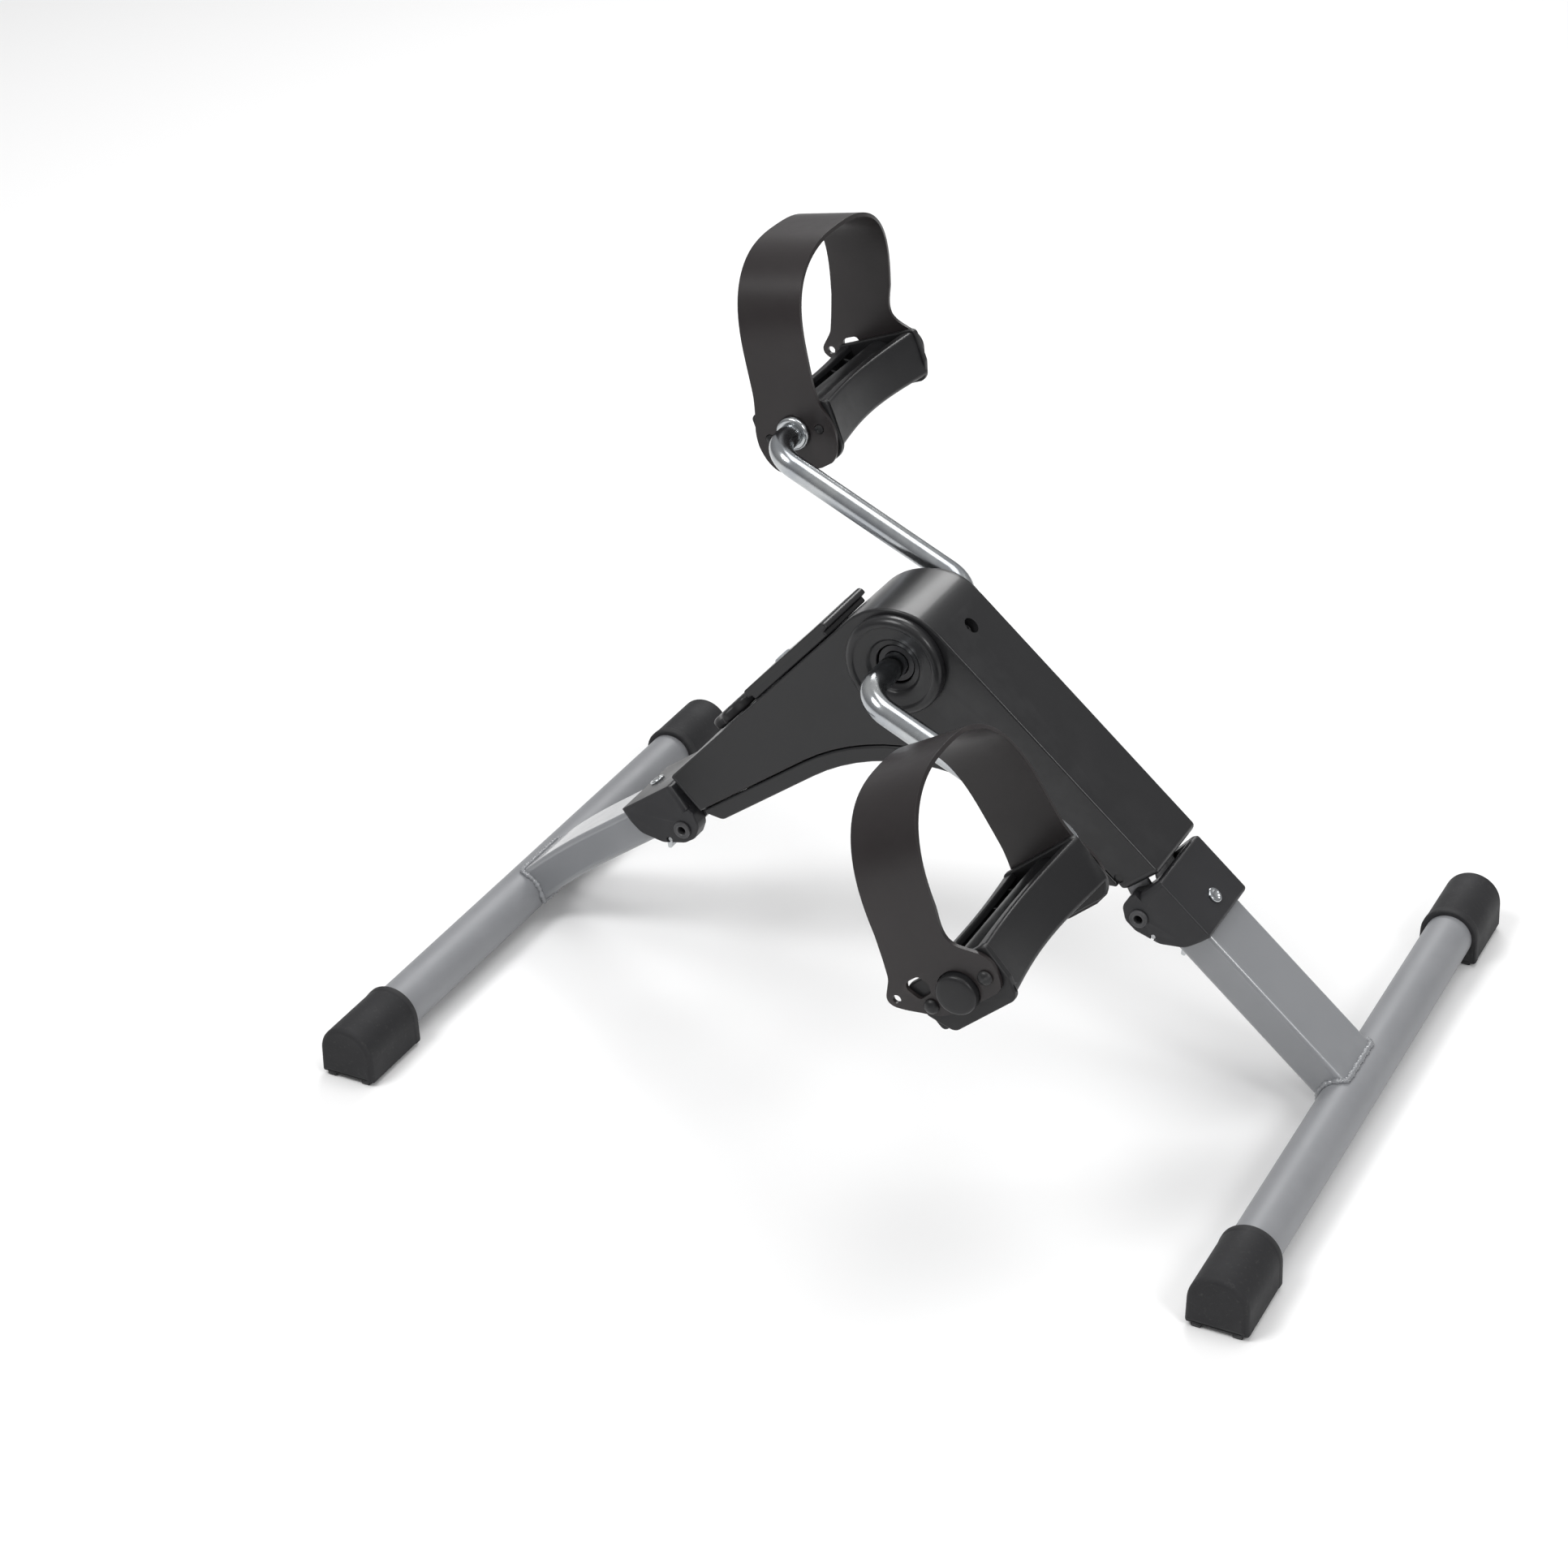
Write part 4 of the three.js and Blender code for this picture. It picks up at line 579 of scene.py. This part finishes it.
for side, s in (("right", -1), ("left", 1)):
    rim = [(10.6, 25.9), (26.3, 25.9), (26.5, 26.3), (26.5, 29.2), (26.2, 30.2), (25.5, 31.1), (24.6, 31.8), (23.6, 32.15), (22.7, 32.2), (21.9, 31.9), (21.5, 31.3), (21.0, 31.0), (18.0, 30.9), (15.2, 30.3),
           (14.3, 29.6), (13.7, 28.6), (13.1, 28.1), (11.2, 27.8), (10.6, 27.4)]
    done(M().lathe([(r, h) for r, h in rim], (CX, 0, CZ), (0, s, 0), 80).obj(f"bearing_cover_{side}_look"), "housing", "shell_black", [f"bearing_cover_{side}"], sharp=40)
    bush = [(6.6, 12.2), (10, 12.2), (10, 16.3), (12.5, 16.3), (12.5, 18.3), (10, 18.3), (10, 25.6), (9.6, 26.2), (6.9, 26.2), (6.6, 25.9)]
    done(M().lathe(bush, (CX, 0, CZ), (0, s, 0), 48).obj(f"bearing_bush_{side}_look"), "housing", "bracket_black", [f"bearing_bush_{side}"])


def cross_head(name, p, axis, r, head_h, shank, body, node):
    """Screw: shank from p, then a domed head with a cross recess; axis points from head outwards."""
    a = Vector(axis).normalized()
    o = M().lathe([(0, -shank), (1.5, -shank), (1.9, -shank + 0.8), (1.9, 0), (r, 0), (r, head_h * 0.45), (r * 0.85, head_h * 0.8), (r * 0.5, head_h), (0, head_h)], p, a, 32).obj(name)
    u = Vector((0, 1, 0)); w = a.cross(u).normalized()
    cuts = []
    for d, e in ((u, w), (w, u)):
        base = Vector(p) + a * (head_h - 1.1)
        q = [base + d * x * r * 0.62 + e * y * 0.45 for x, y in ((-1, -1), (1, -1), (1, 1), (-1, 1))]
        cuts.append(M().loft([q, [v + a * 3 for v in q]]))
    csg(o, cuts)
    return done(o, body, "black_steel", [node], sharp=35)


p = FP(299.3, 12.2); cross_head("top_cover_screw_look", (p[0], 0, p[1]), nrm(FP), 3.6, 1.4, 4.0, "housing", "top_cover_screw")
for end, P, s in (("front", FP, 178), ("rear", GP, 200)):
    p = P(s, LOW_N - 0.4); n = nrm(P)
    cross_head(f"{end}_cover_screw_look", (p[0], 0, p[1]), (-n[0], 0, -n[2]), 3.8, 1.3, 12.4, "housing", f"{end}_cover_screw")


# ------------------------------------------------------------------ crank
def bent(points, r, steps=14):
    pts = [Vector(p) for p in points]; out = [pts[0]]
    for i in range(1, len(pts) - 1):
        b = pts[i]; u = (pts[i - 1] - b).normalized(); v = (pts[i + 1] - b).normalized()
        ang = u.angle(v); t = r / math.tan(ang / 2)
        c = b + (u + v).normalized() * (r / math.sin(ang / 2)); s0, s1 = b + u * t - c, b + v * t - c
        w = math.pi - ang
        out += [c + s0 * (math.sin((1 - k) * w) / math.sin(w)) + s1 * (math.sin(k * w) / math.sin(w)) for k in (j / steps for j in range(steps + 1))]
    return out + [pts[-1]]


for side, s, ax in (("right", -1, AX_R), ("left", 1, AX_L)):
    path = bent([(CX, s * 1, CZ), (CX, s * ARM_Y, CZ), (ax[0], s * ARM_Y, ax[1]), (ax[0], s * 203.4, ax[1])], 15)
    path = [path[0]] + [p for i, p in enumerate(path[1:-1])] + [Vector((ax[0], s * 202.6, ax[1])), path[-1]]
    n = len(path)
    sec = [(ROD_R * math.cos(2 * math.pi * i / 40), ROD_R * math.sin(2 * math.pi * i / 40)) for i in range(40)]
    o = M().sweep(path, sec, up=(0, 0.3, 1), size=lambda i: 0.88 if i == n - 1 else 1.0).obj(f"crank_rod_{side}_look")
    done(o, "crank", "zinc_plate", [f"crank_rod_{side}"], sharp=40)
    w = [(6.45, 87.0), (7.6, 86.9), (8.5, 87.2), (9.1, 87.8), (9.45, 88.6), (9.5, 89.3), (9.4, 90.1), (6.45, 90.2)]
    done(M().lathe(w, (ax[0], 0, ax[1]), (0, s, 0), 56).obj(f"axle_washer_{side}_look"), "crank", "zinc_plate", [f"axle_washer_{side}"], sharp=40)
done(M().lathe([(6.65, -8), (19.6, -8), (20, -7.6), (20, 7.6), (19.6, 8), (6.65, 8)], (CX, 0, CZ), YAX, 72).obj("brake_drum_look"), "crank", "plain_steel", ["brake_drum"])

# ------------------------------------------------------------------ tension control and display
kn = nrm(RP)
kb = RP(KNOB_T, REAR_N + 0.4)
wave = lambda t, h: 0.055 * math.cos(8 * t) * (1 if h > 0.2 else 1)
prof = [(0, 0.0), (15.6, 0.0), (16.6, 0.5), (17.2, 1.4), (17.2, 4.2), (16.9, 5.2), (16.0, 6.0), (14.8, 6.35), (13.0, 6.3), (12.2, 5.7), (7.4, 5.5), (6.6, 5.9), (5.6, 6.4), (0, 6.5)]
knob = M()
q = [Vector((kb[0], 0, kb[1]))]
knob.lathe(prof, q[0], kn, 96, wave=lambda t, h: 0.06 * math.cos(8 * t))
o = knob.obj("tension_knob_look")
csg(o, [cyl((kb[0], 0, kb[1]), kn, 3.3, 4.6, 28, back=2)])
done(o, "tension_control", "pedal_black", ["tension_knob"], sharp=38)

tray = rounded([(*RP(24, REAR_N + 0.3), 1), (*RP(24, REAR_N + 3), 0.3), (*RP(20.5, REAR_N + 3.6), 0.8), (*RP(20.5, REAR_N + 7.8), 2.6), (*RP(89, REAR_N + 7.8), 1.5), (*RP(89, REAR_N + 3.6), 0.8), (*RP(86, REAR_N + 3), 0.3), (*RP(86, REAR_N + 0.3), 1)], 10)
o = M().prism(tray, -22, 22, 0.9, 4).obj("display_case_look")
D = lambda a, b, lo, hi: [RP(a, REAR_N + lo), RP(b, REAR_N + lo), RP(b, REAR_N + hi), RP(a, REAR_N + hi)]
b0 = RP(71, REAR_N + 4); w0 = RP(54, REAR_N - 2)
csg(o, [M().prism(D(27, 83, 1.8, 5.9), -18.5, 18.5, 0), M().prism(D(30, 56, 5, 9), -16, 16, 0), M().prism(D(28.6, 57.4, 7.0, 9), -17.4, 17.4, 0),
        cyl((b0[0], 0, b0[1]), kn, 5.3, 6), cyl((w0[0], 0, w0[1]), kn, 2.5, 6)])
done(o, "housing", "shell_black", ["display_case"], bevel=0.3, limit=50, sharp=35)
done(M().prism(D(28.9, 57.1, 7.3, 7.9), -17.1, 17.1, 0.2).obj("display_window_look"), "housing", "clear_window", ["display_window"])
# digits on the liquid crystal: 0 : 0 0
seg_on = {"0": "abcdef"}
dig = M()
def bar_seg(y0, t0, y1, t1, w=0.9):
    horizontal = abs(y1 - y0) > abs(t1 - t0)
    a0, a1 = (min(t0, t1), max(t0, t1)); c0, c1 = (min(y0, y1), max(y0, y1))
    if horizontal: a0, a1 = t0 - w / 2, t0 + w / 2; c0 += 0.5; c1 -= 0.5
    else: c0, c1 = y0 - w / 2, y0 + w / 2; a0 += 0.5; a1 -= 0.5
    dig.prism(D(a0, a1, 6.92, 7.02), c0, c1, 0)
for k, yc in enumerate((-9.0, 1.5, 9.5)):
    y0, y1, ta, tm, tb = yc - 2.6, yc + 2.6, 37.5, 43, 48.5
    for a in ((y0, ta, y1, ta), (y0, tb, y1, tb), (y0, ta, y0, tm), (y1, ta, y1, tm), (y0, tm, y0, tb), (y1, tm, y1, tb)): bar_seg(*a)
for t in (40.8, 45.2): dig.prism(D(t - 0.6, t + 0.6, 6.92, 7.02), -4.4, -3.2, 0)
done(dig.obj("display_digits"), "housing", "lcd_dark", (), smooth=False)
bp = RP(71, REAR_N + 4.4)
done(M().lathe([(0, 0), (4.9, 0), (4.9, 3.4), (4.75, 3.9), (4.3, 4.25), (3.4, 4.4), (0, 4.2)], (bp[0], 0, bp[1]), kn, 40).obj("display_button_look"), "display_button", "button_grey", ["display_button"])


# ------------------------------------------------------------------ pedals
def smoothstep(t): t = max(0.0, min(1.0, t)); return t * t * (3 - 2 * t)


def interp(table, w):
    """Monotone smooth interpolation in rows (w, a, b)."""
    table = sorted(table)
    if w <= table[0][0]: return table[0][1:]
    if w >= table[-1][0]: return table[-1][1:]
    for i in range(len(table) - 1):
        if table[i][0] <= w <= table[i + 1][0]:
            t = (w - table[i][0]) / (table[i + 1][0] - table[i][0])
            res = []
            for c in (1, 2):
                p0 = table[max(0, i - 1)][c]; p1 = table[i][c]; p2 = table[i + 1][c]; p3 = table[min(len(table) - 1, i + 2)][c]
                w0 = table[max(0, i - 1)][0]; w1 = table[i][0]; w2 = table[i + 1][0]; w3 = table[min(len(table) - 1, i + 2)][0]
                m1 = (p2 - p0) / max(1e-6, w2 - w0) * (w2 - w1); m2 = (p3 - p1) / max(1e-6, w3 - w1) * (w2 - w1)
                res.append((2 * t ** 3 - 3 * t ** 2 + 1) * p1 + (t ** 3 - 2 * t ** 2 + t) * m1 + (-2 * t ** 3 + 3 * t ** 2) * p2 + (t ** 3 - t ** 2) * m2)
            return res


def pedal(side, s, ax, tilt):
    c, n = math.cos(math.radians(tilt)), math.sin(math.radians(tilt))
    P = lambda u, w: (ax[0] + c * u - n * w, ax[1] + n * u + c * w)
    body = f"pedal_{side}"

    def slab(pts, a, b, r=0.5, k=3): return M().prism(pts, min(s * a, s * b), max(s * a, s * b), r, k)
    inner = rounded([(*P(-24, 13), 3), (*P(-24, -20), 10), (*P(24, -20), 10), (*P(24, 13), 3)], 8)
    outer = rounded([(*P(-25, 13), 3), (*P(-25, -4), 4), (*P(-18, -16.5), 5), (*P(22, -16.5), 5), (*P(25.5, -6), 4), (*P(25.5, 13), 3)], 8)
    o = slab(outer, PED_OUT - 4, PED_OUT, 0.8).obj(f"pedal_body_{side}_look")
    joins = [slab(inner, PED_IN, PED_IN + 4, 0.8)]
    # front and rear channel bars, waisted; each ring is a rounded C section in (u, w)
    for q in (1, -1):
        rings = []
        N = 22
        for i in range(N + 1):
            k = i / N; yy = PED_IN + 2 + (PED_OUT - PED_IN - 4) * k
            uo, ui = 24.5 - 6 * math.sin(math.pi * k), 17 - 4 * math.sin(math.pi * k)
            drop = 1.6 * math.sin(math.pi * k)
            sec = rounded([(q * ui, 12, 1.0), (q * uo, 12, 2.0), (q * (uo + 0.3), 4, 0), (q * (uo - 0.4), -14 + drop, 2.4), (q * ui, -14 + drop, 1.0), (q * ui, -9.5 + drop, 0.6), (q * (uo - 3.0), -9.5 + drop, 1.4), (q * (uo - 2.6), 8.6, 1.0), (q * ui, 8.6, 0.6)], 24)
            rings.append([(P(u, w)[0], s * yy, P(u, w)[1]) for u, w in sec])
        joins.append(M().loft(rings))
        # web that closes the channel towards the hub, and cross ribs kept behind the waisted wall
        wall = lambda yy: 24.5 - 6 * math.sin(math.pi * (yy - PED_IN - 2) / (PED_OUT - PED_IN - 4)) - 1.6
        web = [P(q * 9, -9), P(q * 16.4, -11.2), P(q * 16.4, -8.8), P(q * 9, -6.6)]
        joins.append(M().prism(web if q > 0 else web[::-1], *sorted((s * (PED_IN + 14), s * (PED_OUT - 14))), 0.4))
        for yy in (PED_IN + 15, 128, 166, PED_OUT - 16.6):
            uw = min(wall(yy), wall(yy + 1.6))
            rib = [P(q * 8, -8), P(q * uw, -10.6), P(q * uw, 9.5), P(q * (uw - 2.5), 9.5), P(q * 8, 5)]
            joins.append(slab(rib if q > 0 else rib[::-1], yy, yy + 1.6, 0.3))
    joins.append(slab(circle(*ax, 11, 56), PED_IN + 1, PED_OUT - 1, 0.3))
    for u in (-17.3, 17.3):
        pk = P(u, 0)
        joins.append(M().lathe([(0, -3), (2.6, -3), (2.6, 2.6), (3.5, 2.7), (3.7, 3.2), (3.4, 4.0), (2.5, 4.7), (1.2, 5.1), (0, 5.2)], (pk[0], s * PED_OUT, pk[1]), (0, s, 0), 28))
        joins.append(M().lathe([(0, -3), (1.9, -3), (1.9, 2.0), (2.4, 2.6), (2.2, 3.1), (1.2, 3.6), (0, 3.7)], (P(u * 0.9, -1)[0], s * PED_IN, P(u * 0.9, -1)[1]), (0, -s, 0), 24))
    csg(o, [ydisc(*ax, 8.3, -300, 300, 56)], joins)
    done(o, body, "pedal_black", [f"pedal_body_{side}"], sharp=34)
    slv = [(6.65, PED_IN + 0.3), (8.0, PED_IN + 0.3), (8.0, PED_OUT - 0.2), (6.65, PED_OUT - 0.2)]
    done(M().lathe(slv, (ax[0], 0, ax[1]), (0, s, 0), 48).obj(f"pedal_sleeve_{side}_look"), body, "nylon_white", [f"pedal_sleeve_{side}"])
    cap = [(0, 206.2), (8.6, 206.2), (8.8, 205.8), (8.8, 201.35), (9.9, 201.35), (10.2, 201.8), (10.2, 206.0), (10.0, 206.9), (9.4, 207.6), (8.4, 208.0), (6.5, 208.25), (3, 208.4), (0, 208.4)]
    done(M().lathe(cap, (ax[0], 0, ax[1]), (0, s, 0), 64).obj(f"axle_cap_{side}_look"), body, "pedal_black", [f"axle_cap_{side}"], sharp=40)

    # ---- strap: one moulded band, rows along its length and columns across its width
    T, HW = 2.2, 18.5
    yi0, yo1 = PED_IN - 0.3 - T, PED_OUT + 0.3 + T
    mid, half = (yi0 + yo1) / 2, (yo1 - yi0) / 2
    inner_tab = [(-22, -9, 9), (-21.6, -13, 13), (-20, -16.6, 16.6), (-17, -19.6, 19.8), (-12, -22.2, 22.4), (-6, -23.6, 23.8), (-2, -23.8, 24), (4, -22.9, 23), (12, -20.4, 20.4), (22, -18.7, 18.7), (30, -18.5, 18.5), (40, -18.5, 18.5)]
    outer_tab = [(-9, 1, 17), (-8.6, -6, 19.2), (-7, -14, 21.2), (-4, -20, 23), (0, -25.5, 24.4), (4, -31, 25), (8, -35.2, 24), (11, -36.4, 22.2), (13.5, -35.6, 20), (17, -31.8, 16.6), (20, -28.6, 14.2), (24, -26.4, 12.6), (30, -23.6, 13.4), (40, -19.3, 17.7)]
    rows = []      # (y, w, uL, uR, ny, nw)
    for i in range(40):
        w = -22 + (40 + 22) * i / 40
        a, b = interp(inner_tab, w)
        up = max(0, w - 10)
        rows.append((yi0, w, a, b, -1, 0, 0))
    K = 46
    for i in range(K + 1):
        a_ = math.pi * (1 - i / K); e = 2 / 2.6
        cx = math.copysign(abs(math.cos(a_)) ** e, math.cos(a_)); cz = abs(math.sin(a_)) ** e
        rows.append((mid + half * cx, 40 + 54 * cz, -HW, HW, 0, 0, 1))
    for i in range(1, 41):
        w = 40 - (40 + 9) * i / 40
        a, b = interp(outer_tab, w)
        rows.append((yo1, w, a, b, 1, 0, 2))
    cols = 16
    outer_s, inner_s = [], []
    R = len(rows)
    for i, (yy, w, a, b, _, _, kind) in enumerate(rows):
        p0, p1 = rows[max(0, i - 1)], rows[min(R - 1, i + 1)]
        ty, tw = p1[0] - p0[0], p1[1] - p0[1]; l = math.hypot(ty, tw) or 1
        ny, nw = -tw / l, ty / l          # outward in the (y, w) plane
        k = (yy - yi0) / (yo1 - yi0)
        line_o, line_i = [], []
        for j in range(cols + 1):
            f = j / cols
            up = max(0, w - 10)
            lean = (1 - k) * (0.16 * up) + k * (-11 + 0.34 * up)
            if kind == 2:
                u = a + (b - a) * f; u0 = u - lean
            elif kind == 0:
                u0 = a + (b - a) * f; u = u0 + 0.16 * up
            else:
                u0 = a + (b - a) * f; u = u0 + lean
            blendu = min(1, up / 80)
            crown = 0.0
            for dst, off in ((line_o, 0.0), (line_i, -T)):
                yq, wq = yy + ny * (off + crown), w + nw * (off + crown)
                ww = wq - 0.2 * u0 * blendu
                x, z = P(u, ww)
                dst.append((x, s * yq, z))
        outer_s.append(line_o); inner_s.append(line_i)
    sm = M()
    vs = [p for r in outer_s for p in r] + [p for r in inner_s for p in r]
    C = cols + 1; O = R * C
    fs = []
    for i in range(R - 1):
        for j in range(cols):
            fs.append((i * C + j, i * C + j + 1, (i + 1) * C + j + 1, (i + 1) * C + j))
            fs.append((O + i * C + j, O + (i + 1) * C + j, O + (i + 1) * C + j + 1, O + i * C + j + 1))
        for j in (0, cols):
            fs.append((i * C + j, (i + 1) * C + j, O + (i + 1) * C + j, O + i * C + j))
    for i in (0, R - 1):
        for j in range(cols):
            fs.append((i * C + j, i * C + j + 1, O + i * C + j + 1, O + i * C + j))
    sm.add(vs, fs)
    o = sm.obj(f"strap_{side}_look")
    m = o.modifiers.new("edge", "BEVEL"); m.width = 0.6 * MM; m.segments = 3; m.limit_method = "ANGLE"; m.angle_limit = math.radians(60)
    bake(o)
    gap = rounded([(*P(-24.5, 15.5), 3.4), (*P(-13.6, 15.2), 2.6), (*P(-11.2, 9.6), 1.6), (*P(-13.2, 5.4), 1.6), (*P(-20.5, 5.0), 2.2)], 15)
    csg(o, [slab(circle(*ax, 7.6, 40), 80, 100, 0), slab(circle(*ax, 10.8, 56), 195, 210, 0), slab(circle(*P(-17.3, 0), 3.0, 28), 195, 203.52, 0), slab(circle(*P(17.3, 0), 3.0, 28), 195, 203.52, 0),
            slab(circle(*P(-31.5, 10.5), 2.2, 24), 195, 210, 0), slab(circle(*P(-15.6, -1), 2.7, 24), 80, 100, 0), slab(circle(*P(15.6, -1), 2.7, 24), 80, 100, 0), slab(gap, 195, 210, 0)])
    done(o, body, "strap_vinyl", [f"strap_{side}"], sharp=36)


pedal("right", -1, AX_R, 40.7)
pedal("left", 1, AX_L, 20.7)

# ------------------------------------------------------------------ stage, light, camera
floor_mesh = bpy.data.meshes.new("floor")
n_, S_ = 2, 14.0
floor_mesh.from_pydata([(-S_, -S_, -0.0002), (S_, -S_, -0.0002), (S_, S_, -0.0002), (-S_, S_, -0.0002)], [], [(0, 1, 2, 3)])
floor = bpy.data.objects.new("floor", floor_mesh); bpy.context.scene.collection.objects.link(floor)
fm = bpy.data.materials.new("pale_floor"); fm.use_nodes = True
fm.node_tree.nodes["Principled BSDF"].inputs["Base Color"].default_value = (0.88, 0.88, 0.88, 1)
fm.node_tree.nodes["Principled BSDF"].inputs["Roughness"].default_value = 0.9
floor_mesh.materials.append(fm)

world = bpy.data.worlds.new("studio"); bpy.context.scene.world = world; world.use_nodes = True
wn, wl = world.node_tree.nodes, world.node_tree.links
wt = wn.new("ShaderNodeTexCoord"); ws = wn.new("ShaderNodeSeparateXYZ"); wr = wn.new("ShaderNodeValToRGB")
wl.new(wt.outputs["Generated"], ws.inputs[0]); wl.new(ws.outputs["Z"], wr.inputs[0])
wr.color_ramp.elements[0].position = 0.0; wr.color_ramp.elements[0].color = (0.5, 0.5, 0.51, 1)
wr.color_ramp.elements[1].position = 0.7; wr.color_ramp.elements[1].color = (1, 1, 1, 1)
wl.new(wr.outputs["Color"], wn["Background"].inputs["Color"]); wn["Background"].inputs["Strength"].default_value = 0.55


def light(name, loc, target, size, power, col=(1, 1, 1), size_y=None):
    d = bpy.data.lights.new(name, "AREA"); d.energy = power; d.size = size; d.color = col
    if size_y: d.shape = "RECTANGLE"; d.size_y = size_y
    o = bpy.data.objects.new(name, d); bpy.context.scene.collection.objects.link(o)
    o.location = loc
    o.rotation_mode = "QUATERNION"; o.rotation_quaternion = (Vector(target) - Vector(loc)).to_track_quat("-Z", "Y")


light("key", (-0.9, -1.3, 2.2), (0, 0, 0.15), 0.9, 30)
light("fill", (1.62, -0.9, 1.48), (0.05, 0, 0.12), 0.6, 13)
light("rim", (-0.6, 1.9, 1.7), (0, 0, 0.15), 1.2, 20, size_y=0.5)
light("top", (0.4, 0.2, 2.4), (0, 0, 0.1), 1.3, 13)

cam = bpy.data.cameras.new("camera"); cam.lens = 76.974; cam.sensor_width = 36; cam.clip_start = 0.05; cam.clip_end = 60
co = bpy.data.objects.new("camera", cam); bpy.context.scene.collection.objects.link(co)
R_, U_, Vv = (0.88940163, 0.45642687, -0.02528338), (-0.2084196, 0.45411388, 0.86622275), (-0.40684887, 0.76515038, -0.49901793)
co.matrix_world = Matrix(((R_[0], U_[0], -Vv[0], 0.633238), (R_[1], U_[1], -Vv[1], -1.344839), (R_[2], U_[2], -Vv[2], 0.988545), (0, 0, 0, 1)))
bpy.context.scene.camera = co
bpy.context.scene.view_settings.view_transform = "Standard"
